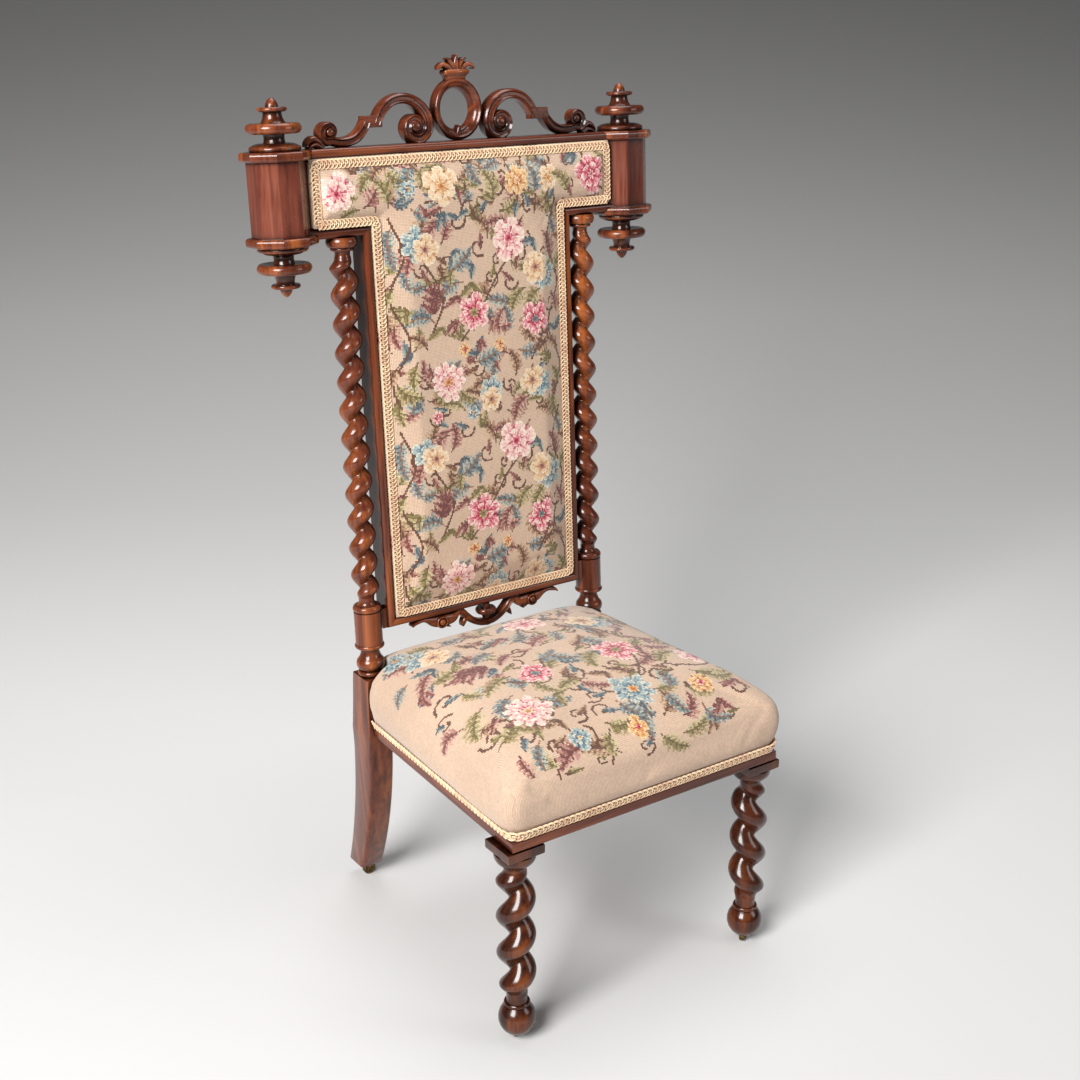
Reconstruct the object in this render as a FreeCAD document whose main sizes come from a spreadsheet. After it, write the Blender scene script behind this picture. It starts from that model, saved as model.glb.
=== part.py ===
import FreeCAD, Part
import math
import os
import Sketcher

# Prie-dieu chair: a low stuffed seat under a tall T-shaped upholstered back, on turned legs with castors.
# Frame: X to the right seen from the front, Y to the rear, Z up, origin on the floor in the middle.

SIZES = {
    # Stance
    "clearance": 0.1,
    "soft_gap": 0.3,
    "rake_angle": 2.7,
    "shoulder_height": 345.0,
    "back_depth": 135.0,
    "column_offset": 173.3,
    # Rear leg
    "leg_width": 35.0,
    "leg_depth": 40.0,
    "leg_knee_height": 272.0,
    "leg_foot_height": 24.0,
    "leg_foot_width": 33.0,
    "leg_foot_inset": 20.0,
    "leg_toe": 199.0,
    "leg_heel": 236.0,
    "leg_front_curve": 681.0,
    "leg_rear_curve": 847.0,
    # Turned foot of the column
    "ring_radius": 15.5,
    "ring_height": 7.0,
    "vase_foot_radius": 13.5,
    "vase_waist_radius": 15.0,
    "vase_neck_radius": 11.8,
    "vase_belly_height": 17.0,
    "vase_neck_height": 14.0,
    "drum_radius": 17.6,
    "drum_lip_radius": 18.2,
    "drum_lip_height": 4.5,
    "drum_height": 43.5,
    "bead_radius": 16.0,
    "bead_height": 9.0,
    "collar_radius": 12.5,
    "collar_height": 8.0,
    # Barley twist of the column
    "column_twist_length": 428.0,
    "column_twist_turns": 12.2,
    "column_strand_radius": 12.6,
    "column_throw": 4.7,
    "column_end_radius": 10.0,
    "column_run_out": 15.0,
    # Capital of the column
    "neck_height": 8.0,
    "neck_ring_radius": 13.2,
    "neck_ring_height": 4.5,
    "capital_radius": 17.0,
    "capital_height": 11.5,
    "column_spigot_radius": 6.0,
    "column_spigot_length": 9.0,
    # T-shaped back frame
    "frame_front": 13.0,
    "frame_rear": 18.0,
    "frame_half_width": 150.0,
    "frame_bottom": 60.0,
    "bar_height": 102.0,
    "member_width": 30.0,
    "lip_width": 11.0,
    "rebate_depth": 9.0,
    "lip_round": 4.2,
    # Octagon blocks
    "block_offset": 246.0,
    "block_set_back": 6.0,
    "block_flats": 64.0,
    "cap_flats": 78.0,
    "cap_thickness": 11.0,
    "cap_round": 4.0,
    "cap_drop": 5.0,
    # Finial and pendant
    "knop_base_radius": 29.0,
    "knop_base_height": 9.0,
    "knop_neck_radius": 13.0,
    "knop_neck_height": 10.5,
    "knop_disc_radius": 28.5,
    "knop_disc_height": 11.5,
    "knop_cove_radius": 11.0,
    "knop_cove_height": 12.5,
    "knop_fillet_radius": 15.7,
    "knop_fillet_height": 5.0,
    "knop_bud_radius": 7.6,
    "knop_bud_height": 10.5,
    "knop_spigot_radius": 6.0,
    "knop_spigot_length": 27.0,
    # Crest
    "crest_thickness": 16.0,
    "crest_relief": 3.0,
    "crest_border": 2.2,
    "crest_ring_width": 33.5,
    "crest_ring_height": 36.9,
    "crest_ring_band": 13.5,
    "crest_arch_centre": 75.0,
    "crest_arch_rise": 19.0,
    "crest_arch_radius": 38.5,
    "crest_band": 10.5,
    "crest_volute_centre": 60.0,
    "crest_volute_rise": 17.5,
    "crest_volute_radius": 18.0,
    "crest_break_start": 99.0,
    "crest_break_end": 133.0,
    "crest_break_bottom": 20.0,
    "crest_break_top": 34.0,
    "crest_sweep_centre": 157.0,
    "crest_sweep_radius": 36.3,
    "crest_curl_centre": 176.0,
    "crest_curl_rise": 16.5,
    "crest_curl_radius": 10.0,
    "crest_ear_centre": 191.0,
    "crest_ear_radius": 15.0,
    "crest_link_height": 18.0,
    "crest_collar_width": 17.0,
    "crest_collar_height": 13.0,
    "crest_leaf_height": 17.0,
    "crest_leaf_spread": 21.0,
    # Apron
    "apron_thickness": 12.0,
    "apron_set_back": 2.0,
    "apron_depth": 30.0,
    "apron_reach": 117.0,
    "apron_boss_offset": 71.0,
    "apron_boss_drop": 10.5,
    "apron_boss_radius": 5.0,
    "apron_boss_height": 2.0,
    "bobbin_disc_radius": 12.0,
    "bobbin_disc_height": 8.0,
    "bobbin_neck_radius": 6.0,
    "spacer_height": 26.0,
    "spacer_depth": 16.0,
    # Seat frame
    "seat_front": 228.7,
    "seat_front_half": 196.6,
    "seat_rear_half": 184.0,
    "seat_bottom": 264.5,
    "seat_rail_height": 57.5,
    "seat_moulding_height": 15.5,
    "seat_rail_recess": 6.0,
    "seat_moulding_round": 3.6,
    "front_rail_width": 46.0,
    "side_rail_width": 34.0,
    "back_rail_width": 22.0,
    "tenon_length": 16.0,
    "tenon_thickness": 12.0,
    "tenon_height": 36.0,
    "corner_block_leg": 44.0,
    "corner_block_height": 45.0,
    # Front legs
    "front_leg_offset": 177.8,
    "front_leg_depth": 204.6,
    "ball_radius": 22.7,
    "ball_centre": 30.0,
    "ball_collar_radius": 14.5,
    "ball_collar_height": 5.0,
    "ball_neck_radius": 13.0,
    "ball_neck_height": 9.0,
    "leg_twist_turns": 3.5,
    "leg_strand_radius": 15.5,
    "leg_throw": 7.0,
    "leg_end_radius": 13.0,
    "leg_run_out": 20.0,
    "cup_radius": 25.0,
    "cup_neck_radius": 16.5,
    "cup_height": 20.5,
    "collar_plate_width": 49.0,
    "collar_plate_height": 12.0,
    "leg_spigot_radius": 10.0,
    "leg_spigot_length": 28.0,
    # Seat upholstery
    "webbing_width": 48.0,
    "webbing_thickness": 1.5,
    "hessian_thickness": 1.0,
    "cover_thickness": 1.6,
    "cushion_overhang": 8.0,
    "cushion_draw_in": 10.5,
    "cushion_rear": 159.8,
    "cushion_edge_height": 352.0,
    "cushion_crown_height": 392.0,
    "cushion_corner": 24.0,
    "gimp_width": 11.0,
    "gimp_thickness": 2.5,
    "dust_cover_thickness": 1.0,
    # Back upholstery
    "back_crown": 12.5,
    "back_crown_round": 10.5,
    "lining_thickness": 1.0,
    "lining_inset": 12.0,
    # Castors
    "plate_radius": 12.0,
    "plate_thickness": 2.5,
    "socket_radius": 5.5,
    "socket_length": 14.0,
    "stem_radius": 3.0,
    "stem_length": 12.0,
    "running_gap": 0.05,
    "horn_crown_radius": 7.5,
    "horn_crown_thickness": 2.0,
    "horn_cheek_thickness": 2.0,
    "horn_cheek_width": 8.0,
    "castor_trail": 4.0,
    "wheel_radius": 9.0,
    "wheel_width": 7.0,
    "wheel_side_gap": 0.4,
    "axle_radius": 1.5,
    "recess_radius": 14.0,
}

TWIST_SIDES = 16
TWIST_STEPS_PER_TURN = 8
TWIST_TOP_ANGLE = 262.0
CORNER_STEPS = 5
BACK_STRIPS_ACROSS = 6
BACK_STRIPS_UP = 3
SEAT_STRIPS_ACROSS = 4
SEAT_STRIPS_DEEP = 4

doc = FreeCAD.newDocument("prie_dieu_chair")
Vector = FreeCAD.Vector
sheet = doc.addObject("Spreadsheet::Sheet", "Sizes")
for row, (alias, number) in enumerate(SIZES.items(), start=1):
    sheet.set(f"A{row}", str(number))
    sheet.setAlias(f"A{row}", alias)
doc.recompute()
parts = []


class Size:
    """A length: its number, and the sheet formula that drives it."""

    def __init__(self, number, formula):
        self.number = number
        self.formula = formula

    def __add__(self, other):
        other = as_size(other)
        return Size(self.number + other.number, f"({self.formula} + {other.formula})")

    def __sub__(self, other):
        other = as_size(other)
        return Size(self.number - other.number, f"({self.formula} - {other.formula})")

    def __mul__(self, other):
        other = as_size(other)
        return Size(self.number * other.number, f"({self.formula} * {other.formula})")

    def __truediv__(self, other):
        other = as_size(other)
        return Size(self.number / other.number, f"({self.formula} / {other.formula})")

    def __radd__(self, other):
        return as_size(other) + self

    def __rsub__(self, other):
        return as_size(other) - self

    def __rmul__(self, other):
        return as_size(other) * self

    def __neg__(self):
        return as_size(-1) * self

    def __float__(self):
        return self.number


def as_size(value):
    if isinstance(value, Size):
        return value
    return Size(float(value), f"({float(value)})")


def size(alias):
    return Size(float(sheet.get(alias)), f"Sizes.{alias}")


def root(value):
    return Size(math.sqrt(value.number), f"sqrt({value.formula})")


rake = size("rake_angle")
rake_cos = Size(math.cos(math.radians(rake.number)), f"cos({rake.formula})")
rake_sin = Size(math.sin(math.radians(rake.number)), f"sin({rake.formula})")
clearance = size("clearance")
soft_gap = size("soft_gap")


# Placing pieces

def place(piece, x, y, z, axis=(1, 0, 0), angle=0):
    spot = "; ".join(as_size(value).formula for value in (x, y, z))
    direction = "; ".join(str(value) for value in axis)
    turn = f"create(<<rotation>>; create(<<vector>>; {direction}); {as_size(angle).formula})"
    piece.setExpression("Placement", f"create(<<placement>>; create(<<vector>>; {spot}); {turn})")


def lean(piece, x=0, depth=0, height=0, angle=None):
    """Place a piece of the back by its spot in the leaning frame, whose origin is at the leg's shoulder."""
    depth = as_size(depth)
    height = as_size(height)
    y = size("back_depth") + depth * rake_cos + height * rake_sin
    z = size("shoulder_height") + height * rake_cos - depth * rake_sin
    place(piece, x, y, z, angle=-rake if angle is None else angle)


def keep(piece, label):
    piece.Label = label
    parts.append(piece)
    return piece


# Sketches and features

def new_body(name):
    return doc.addObject("PartDesign::Body", name)


def new_sketch(body, role, offset=None):
    sketch = body.newObject("Sketcher::SketchObject", f"{body.Name}_sketch")
    plane = [feature for feature in body.Origin.OriginFeatures if feature.Role == role][0]
    sketch.AttachmentSupport = [(plane, "")]
    sketch.MapMode = "FlatFace"
    if offset is not None:
        sketch.setExpression("AttachmentOffset.Base.z", as_size(offset).formula)
    return sketch


def hold_point(sketch, edge, end, x, y):
    for kind, axis, value in (("DistanceX", -2, as_size(x)), ("DistanceY", -1, as_size(y))):
        if abs(value.number) < 1e-9:
            sketch.addConstraint(Sketcher.Constraint("PointOnObject", edge, end, axis))
        else:
            index = sketch.addConstraint(Sketcher.Constraint(kind, -1, 1, edge, end, value.number))
            sketch.setExpression(f"Constraints[{index}]", value.formula)


def bowed(start, finish, radius):
    """Arc from start to finish: a positive radius bows to the right of travel, a negative one to the left."""
    chord = finish - start
    right = Vector(chord.y, -chord.x, 0).normalize()
    sagitta = abs(radius) - math.sqrt(max(radius ** 2 - (chord.Length / 2) ** 2, 0))
    middle = (start + finish) / 2 + right * math.copysign(sagitta, radius)
    return Part.Arc(start, middle, finish)


def draw_outline(sketch, corners, bows=None):
    """Closed outline through the corners; bows gives the arc radius of an edge by its number."""
    bows = bows or {}
    points = [Vector(float(x), float(y), 0) for x, y in corners]
    ends = []
    for number, start in enumerate(points):
        finish = points[(number + 1) % len(points)]
        if number in bows:
            edge = sketch.addGeometry(bowed(start, finish, float(bows[number])))
        else:
            edge = sketch.addGeometry(Part.LineSegment(start, finish))
        first = 1 if (sketch.getPoint(edge, 1) - start).Length < 1e-6 else 2
        ends.append((edge, first))
    for number, (edge, first) in enumerate(ends):
        after, after_first = ends[(number + 1) % len(ends)]
        sketch.addConstraint(Sketcher.Constraint("Coincident", edge, 3 - first, after, after_first))
        hold_point(sketch, edge, first, *corners[number])
    for number, radius in bows.items():
        value = as_size(radius)
        positive = value if value.number > 0 else -value
        index = sketch.addConstraint(Sketcher.Constraint("Radius", ends[number][0], positive.number))
        sketch.setExpression(f"Constraints[{index}]", positive.formula)


def draw_circle(sketch, x, y, radius):
    edge = sketch.addGeometry(Part.Circle(Vector(float(x), float(y), 0), Vector(0, 0, 1), float(radius)))
    hold_point(sketch, edge, 3, x, y)
    index = sketch.addConstraint(Sketcher.Constraint("Radius", edge, float(radius)))
    sketch.setExpression(f"Constraints[{index}]", as_size(radius).formula)


def pad(body, sketch, length, middle=False):
    feature = body.newObject("PartDesign::Pad", f"{body.Name}_pad")
    feature.Profile = sketch
    feature.setExpression("Length", as_size(length).formula)
    feature.Midplane = middle
    sketch.Visibility = False
    return feature


def pocket(body, sketch, length, reverse=False):
    doc.recompute()
    before = body.Shape.Volume
    feature = body.newObject("PartDesign::Pocket", f"{body.Name}_pocket")
    feature.Profile = sketch
    feature.setExpression("Length", as_size(length).formula)
    feature.Reversed = reverse
    doc.recompute()
    if body.Shape.Volume > before - 1e-3:
        raise ValueError(f"{feature.Name} cuts nothing")
    return feature


def fillet(body, radius, wanted):
    """Round the edges of the body that the test picks."""
    doc.recompute()
    base = body.Tip
    names = [f"Edge{number}" for number, edge in enumerate(base.Shape.Edges, start=1) if wanted(edge)]
    feature = body.newObject("PartDesign::Fillet", f"{body.Name}_fillet")
    feature.Base = (base, names)
    feature.setExpression("Radius", as_size(radius).formula)
    return feature


def lies_at(edge, axis, value):
    return all(abs(getattr(vertex.Point, axis) - float(value)) < 1e-4 for vertex in edge.Vertexes)


def revolve(name, corners, bows=None):
    """Turned body about its own Z axis from a profile of (radius, height) corners."""
    body = new_body(name)
    sketch = new_sketch(body, "XZ_Plane")
    draw_outline(sketch, corners, bows)
    feature = body.newObject("PartDesign::Revolution", f"{name}_revolution")
    feature.Profile = sketch
    feature.ReferenceAxis = (sketch, ["V_Axis"])
    feature.Angle = 360
    return body


def prism(name, corners, bottom, height, bows=None):
    """Upright prism on a plan outline."""
    body = new_body(name)
    sketch = new_sketch(body, "XY_Plane", bottom)
    draw_outline(sketch, corners, bows)
    pad(body, sketch, height)
    return body


def panel(name, corners, front, rear, bows=None):
    """Plate on an outline seen from the front, between two depths measured back from the column axis."""
    body = new_body(name)
    sketch = new_sketch(body, "XZ_Plane", -as_size(rear))
    draw_outline(sketch, corners, bows)
    pad(body, sketch, as_size(rear) - front)
    return body


def fuse(name, *shapes):
    piece = doc.addObject("Part::MultiFuse", name)
    piece.Shapes = list(shapes)
    return piece


def cut(name, base, tool):
    piece = doc.addObject("Part::Cut", name)
    piece.Base = base
    piece.Tool = tool
    return piece


def common(name, base, tool):
    piece = doc.addObject("Part::Common", name)
    piece.Base = base
    piece.Tool = tool
    return piece


def box(name, x, y, z, length, width, height):
    piece = doc.addObject("Part::Box", name)
    for field, value in (("Length", length), ("Width", width), ("Height", height)):
        piece.setExpression(field, as_size(value).formula)
    place(piece, x, y, z)
    return piece


def compound(name, links):
    piece = doc.addObject("Part::Compound", name)
    piece.Links = links
    return piece


def formed(name, shape):
    piece = doc.addObject("Part::Feature", name)
    piece.Shape = shape
    return piece


def side_name(side):
    return "right" if side > 0 else "left"


# Barley twist

def twist(name, strand, throw, end_radius, run_out, length, turns, hand):
    """Single-strand twist: many-sided sections whose centre goes round the axis and comes home at both ends."""
    steps = round(turns * TWIST_STEPS_PER_TURN)
    top_angle = TWIST_TOP_ANGLE if hand > 0 else 180 - TWIST_TOP_ANGLE
    sections = []
    for step in range(steps + 1):
        height = length * step / steps
        ease = min(1, height / run_out, (length - height) / run_out)
        ease = ease * ease * (3 - 2 * ease)
        angle = math.radians(top_angle) - hand * 2 * math.pi * turns * (1 - step / steps)
        centre = Vector(math.cos(angle), math.sin(angle), 0) * throw * ease + Vector(0, 0, height)
        radius = end_radius + (strand - end_radius) * ease
        corners = []
        for corner in range(TWIST_SIDES + 1):
            around = 2 * math.pi * corner / TWIST_SIDES
            corners.append(centre + Vector(math.cos(around), math.sin(around), 0) * radius)
        sections.append(Part.makePolygon(corners))
    return formed(name, Part.makeLoft(sections, True, True))


# Heights along the leaning column, from the shoulder up
vase_start = size("ring_height")
vase_waist = vase_start + size("vase_belly_height")
drum_start = vase_waist + size("vase_neck_height")
drum_lip_top = drum_start + size("drum_lip_height")
drum_top = drum_lip_top + size("drum_height")
bead_top = drum_top + size("bead_height")
twist_start = bead_top + size("collar_height")
twist_top = twist_start + size("column_twist_length")
neck_top = twist_top + size("neck_height")
capital_start = neck_top + size("neck_ring_height")
bar_bottom = capital_start + size("capital_height")
frame_top = bar_bottom + size("bar_height")
spigot_top = bar_bottom + size("column_spigot_length")
seat_rail_top = size("seat_bottom") + size("seat_rail_height")
leg_front = size("back_depth") - size("leg_depth") / 2
leg_rear = size("back_depth") + size("leg_depth") / 2
leg_inner = size("column_offset") - size("leg_width") / 2


def sabre_leg(side):
    """Rear leg: its side outline crossed with its front outline."""
    name = f"{side_name(side)}_rear_leg"
    profile = new_body(f"{name}_side_view")
    sketch = new_sketch(profile, "YZ_Plane")
    foot = size("leg_foot_height")
    corners = [
        (leg_front, size("shoulder_height")),
        (leg_front, size("leg_knee_height")),
        (size("leg_toe"), foot),
        (size("leg_heel"), foot),
        (leg_rear, size("shoulder_height")),
    ]
    draw_outline(sketch, corners, {1: size("leg_front_curve"), 3: -size("leg_rear_curve")})
    pad(profile, sketch, 2 * (size("leg_width") + size("leg_foot_inset")), middle=True)
    face = new_body(f"{name}_front_view")
    sketch = new_sketch(face, "XZ_Plane")
    half = size("leg_width") / 2
    foot_half = size("leg_foot_width") / 2
    foot_middle = -side * size("leg_foot_inset")
    corners = [
        (-half, size("shoulder_height")),
        (-half, size("seat_bottom")),
        (foot_middle - foot_half, foot),
        (foot_middle + foot_half, foot),
        (half, size("seat_bottom")),
        (half, size("shoulder_height")),
    ]
    draw_outline(sketch, corners)
    pad(face, sketch, 4 * size("leg_heel"), middle=True)
    leg = common(name, profile, face)
    place(leg, side * size("column_offset"), 0, 0)
    return leg


def column_foot(side):
    corners = [
        (0, 0),
        (size("ring_radius"), 0),
        (size("ring_radius"), vase_start),
        (size("vase_foot_radius"), vase_start),
        (size("vase_waist_radius"), vase_waist),
        (size("vase_neck_radius"), drum_start),
        (size("drum_lip_radius"), drum_start),
        (size("drum_lip_radius"), drum_lip_top),
        (size("drum_radius"), drum_lip_top),
        (size("drum_radius"), drum_top),
        (size("bead_radius"), drum_top),
        (size("bead_radius"), bead_top),
        (size("collar_radius"), bead_top),
        (size("column_end_radius"), twist_start),
        (0, twist_start),
    ]
    bows = {
        1: size("ring_height") * 0.6,
        3: size("vase_belly_height") * 0.62,
        4: -size("vase_neck_height") * 1.6,
        6: size("drum_lip_height") * 0.7,
        10: size("bead_height") * 0.6,
        12: -size("collar_height") * 1.2,
    }
    body = revolve(f"{side_name(side)}_column_foot", corners, bows)
    lean(body, side * size("column_offset"))
    return body


def column_capital(side):
    corners = [
        (0, twist_top),
        (size("column_end_radius"), twist_top),
        (size("column_end_radius"), neck_top),
        (size("neck_ring_radius"), neck_top),
        (size("neck_ring_radius"), capital_start),
        (size("capital_radius"), capital_start),
        (size("capital_radius"), bar_bottom),
        (size("column_spigot_radius"), bar_bottom),
        (size("column_spigot_radius"), spigot_top),
        (0, spigot_top),
    ]
    bows = {
        1: -size("neck_height") * 1.2,
        3: size("neck_ring_height") * 0.6,
        5: size("capital_height") * 0.8,
    }
    body = revolve(f"{side_name(side)}_column_capital", corners, bows)
    lean(body, side * size("column_offset"))
    return body


tenon_z = size("seat_bottom") + (size("seat_rail_height") - size("tenon_height")) / 2


def upright(side):
    """Rear leg, turned foot, twist and capital in one length of wood, mortised for the seat rails."""
    name = side_name(side)
    hand = -side
    strand = twist(
        f"{name}_column_twist", float(size("column_strand_radius")), float(size("column_throw")),
        float(size("column_end_radius")), float(size("column_run_out")),
        float(size("column_twist_length")), float(size("column_twist_turns")), hand)
    lean(strand, side * size("column_offset"), 0, twist_start)
    whole = fuse(f"{name}_upright_wood", sabre_leg(side), column_foot(side), strand, column_capital(side))
    loose = 2 * clearance
    half = size("tenon_thickness") / 2 + clearance
    side_mortise = box(
        f"{name}_side_mortise", side * size("column_offset") - half, leg_front, tenon_z - clearance,
        size("tenon_thickness") + loose, size("tenon_length") + clearance, size("tenon_height") + loose)
    depth = size("tenon_length") + clearance
    back_mortise = box(
        f"{name}_back_mortise", side * (leg_inner + depth / 2) - depth / 2,
        back_tenon_front - clearance, tenon_z - clearance,
        depth, size("tenon_thickness") + loose, size("tenon_height") + loose)
    socket = round_socket(f"{name}_foot_socket", side * (size("column_offset") - size("leg_foot_inset")),
                        foot_middle_depth, size("leg_foot_height"))
    tools = fuse(f"{name}_upright_mortises", side_mortise, back_mortise, socket)
    return keep(cut(f"{name}_back_upright", whole, tools), f"{name}_back_upright")


def round_socket(name, x, y, z):
    """Round hole up into a leg for a castor's socket."""
    hole = doc.addObject("Part::Cylinder", name)
    hole.setExpression("Radius", (size("socket_radius") + clearance).formula)
    hole.setExpression("Height", (size("socket_length") + clearance).formula)
    place(hole, x, y, z)
    return hole


back_tenon_front = leg_rear - size("seat_rail_recess") - size("tenon_thickness")
foot_middle_depth = (size("leg_toe") + size("leg_heel")) / 2


# Octagon blocks with their caps, finials and pendants

def octagon(flats):
    half = flats / 2
    corner = half * math.tan(math.pi / 8)
    return [(half, -corner), (half, corner), (corner, half), (-corner, half),
            (-half, corner), (-half, -corner), (-corner, -half), (corner, -half)]


block_start = bar_bottom - size("cap_drop") + size("cap_thickness")
block_height = frame_top - size("cap_thickness") - block_start


def octagon_block(side):
    name = f"{side_name(side)}_octagon_block"
    body = prism(name, octagon(size("block_flats")), 0, block_height)
    reach = size("knop_spigot_length") - size("cap_thickness") + clearance
    lower = new_sketch(body, "XY_Plane")
    draw_circle(lower, 0, 0, size("knop_spigot_radius") + clearance)
    pocket(body, lower, reach, reverse=True)
    upper = new_sketch(body, "XY_Plane", block_height)
    draw_circle(upper, 0, 0, size("knop_spigot_radius") + clearance)
    pocket(body, upper, reach)
    lean(body, side * size("block_offset"), size("block_set_back"), block_start)
    return keep(body, name)


def block_cap(side, level, height):
    name = f"{side_name(side)}_{level}_block_cap"
    body = prism(name, octagon(size("cap_flats")), 0, size("cap_thickness"))
    rims = (0, size("cap_thickness"))
    fillet(body, size("cap_round"), lambda edge: any(lies_at(edge, "z", rim) for rim in rims))
    hole = new_sketch(body, "XY_Plane")
    draw_circle(hole, 0, 0, size("knop_spigot_radius") + clearance)
    pocket(body, hole, size("cap_thickness"), reverse=True)
    lean(body, side * size("block_offset"), size("block_set_back"), height)
    return keep(body, name)


def turned_knop(name, side, height, angle):
    """Finial or pendant, from its seat on the cap to its tip, with a spigot the other way."""
    radius = {key: size(f"knop_{key}_radius") for key in ("base", "neck", "disc", "cove", "fillet", "bud")}
    levels = [as_size(0)]
    for key in ("base", "neck", "disc", "cove", "fillet", "bud"):
        levels.append(levels[-1] + size(f"knop_{key}_height"))
    spigot = -size("knop_spigot_length")
    corners = [
        (0, spigot),
        (size("knop_spigot_radius"), spigot),
        (size("knop_spigot_radius"), 0),
        (radius["base"], 0),
        (radius["base"], levels[1] * 0.6),
        (radius["neck"] + 5, levels[1]),
        (radius["neck"], levels[1]),
        (radius["neck"], levels[2]),
        (radius["disc"], levels[2]),
        (radius["disc"], levels[3]),
        (radius["cove"] + 4, levels[3]),
        (radius["cove"], levels[4]),
        (radius["fillet"], levels[4]),
        (radius["fillet"], levels[5]),
        (radius["bud"], levels[5]),
        (radius["bud"] / 6, levels[6]),
        (0, levels[6]),
    ]
    bows = {
        3: size("knop_base_height") * 0.45,
        4: size("knop_base_radius") * 0.8,
        6: -size("knop_neck_height") * 1.3,
        8: size("knop_disc_height") * 0.55,
        10: -size("knop_cove_height") * 1.2,
        12: size("knop_fillet_height") * 0.55,
        14: size("knop_bud_height") * 1.2,
    }
    body = revolve(name, corners, bows)
    lean(body, side * size("block_offset"), size("block_set_back"), height, angle)
    return keep(body, name)


def block_space(side):
    """Solids of the block and its caps, used to shape what meets them."""
    pieces = []
    spans = ((size("block_flats"), block_start, block_start + block_height),
             (size("cap_flats"), block_start - size("cap_thickness"), block_start),
             (size("cap_flats"), frame_top - size("cap_thickness"), frame_top))
    for flats, bottom, top in spans:
        piece = prism(f"{side_name(side)}_block_space", octagon(flats), 0, top - bottom)
        lean(piece, side * size("block_offset"), size("block_set_back"), bottom)
        pieces.append(piece)
    return pieces


block_tools = fuse("block_tools", *block_space(-1), *block_space(1))


# T-shaped frame of the back

inner_half = size("frame_half_width") - size("member_width")
lip_half = size("frame_half_width") - size("lip_width")
bar_reach = size("block_offset")


def frame_member(name, corners, rebate):
    """Mitred member with a rounded lip in front and a rebate behind it for the upholstery."""
    body = panel(f"{name}_wood", corners, -size("frame_front"), size("frame_rear"))
    sketch = new_sketch(body, "XZ_Plane", size("frame_front"))
    draw_outline(sketch, rebate)
    pocket(body, sketch, size("rebate_depth"))
    longest = 1.9 * float(size("lip_width"))
    front = -size("frame_front")
    fillet(body, size("lip_round"), lambda edge: lies_at(edge, "y", front) and edge.Length > longest)
    return body


def top_rail():
    low = frame_top - size("member_width")
    lip = frame_top - size("lip_width")
    corners = [(-bar_reach, low), (bar_reach, low), (bar_reach, frame_top), (-bar_reach, frame_top)]
    rebate = [(-bar_reach, low), (bar_reach, low), (bar_reach, lip), (-bar_reach, lip)]
    body = frame_member("top_rail", corners, rebate)
    lean(body)
    return keep(cut("top_rail", body, block_tools), "top_rail")


def arm_rail(side):
    name = f"{side_name(side)}_arm_rail"
    high = bar_bottom + size("member_width")
    lip = bar_bottom + size("lip_width")
    corners = [(side * size("frame_half_width"), bar_bottom), (side * bar_reach, bar_bottom),
               (side * bar_reach, high), (side * inner_half, high)]
    rebate = [(side * lip_half, lip), (side * bar_reach, lip),
              (side * bar_reach, high), (side * inner_half, high)]
    body = frame_member(name, corners, rebate)
    hole = new_sketch(body, "XY_Plane", bar_bottom)
    draw_circle(hole, side * size("column_offset"), 0, size("column_spigot_radius") + clearance)
    pocket(body, hole, size("column_spigot_length") + clearance, reverse=True)
    lean(body)
    return keep(cut(name, body, block_tools), name)


def stile(side):
    name = f"{side_name(side)}_stile"
    bottom = size("frame_bottom")
    corners = [(side * size("frame_half_width"), bottom), (side * size("frame_half_width"), bar_bottom),
               (side * inner_half, bar_bottom + size("member_width")),
               (side * inner_half, bottom + size("member_width"))]
    rebate = [(side * lip_half, bottom + size("lip_width")), (side * lip_half, bar_bottom + size("lip_width")),
              (side * inner_half, bar_bottom + size("member_width")),
              (side * inner_half, bottom + size("member_width"))]
    body = frame_member(name, corners, rebate)
    lean(body)
    return keep(body, name)


def bottom_rail():
    low = size("frame_bottom")
    corners = [(-size("frame_half_width"), low), (size("frame_half_width"), low),
               (inner_half, low + size("member_width")), (-inner_half, low + size("member_width"))]
    rebate = [(-lip_half, low + size("lip_width")), (lip_half, low + size("lip_width")),
              (inner_half, low + size("member_width")), (-inner_half, low + size("member_width"))]
    body = frame_member("bottom_rail", corners, rebate)
    lean(body)
    return keep(body, "bottom_rail")


def spacer_block(side):
    """Small block between the drum of the column and the foot of the stile."""
    name = f"{side_name(side)}_spacer_block"
    start = size("frame_half_width")
    finish = size("column_offset")
    half = size("spacer_depth") / 2
    corners = [(side * start, -half), (side * finish, -half), (side * finish, half), (side * start, half)]
    wood = prism(f"{name}_wood", corners, size("frame_bottom"), size("spacer_height"))
    drum = doc.addObject("Part::Cylinder", f"{name}_drum")
    drum.setExpression("Radius", (size("drum_lip_radius") + clearance).formula)
    drum.setExpression("Height", twist_start.formula)
    place(drum, side * size("column_offset"), 0, 0)
    piece = cut(name, wood, drum)
    lean(piece)
    return keep(piece, name)


# Carved crest

def ring_sector(centre, outer, inner, start, finish):
    """Band of a ring between two angles in degrees, as a face in the XZ plane."""
    def spot(radius, angle):
        turn = math.radians(angle)
        return centre + Vector(math.cos(turn), 0, math.sin(turn)) * radius
    middle = (start + finish) / 2
    edges = [
        Part.Arc(spot(outer, start), spot(outer, middle), spot(outer, finish)).toShape(),
        Part.makeLine(spot(outer, finish), spot(inner, finish)),
        Part.Arc(spot(inner, finish), spot(inner, middle), spot(inner, start)).toShape(),
        Part.makeLine(spot(inner, start), spot(outer, start)),
    ]
    return Part.Face(Part.Wire(edges))


def disc(centre, radius):
    return Part.Face(Part.Wire(Part.makeCircle(radius, centre, Vector(0, -1, 0))))


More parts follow.
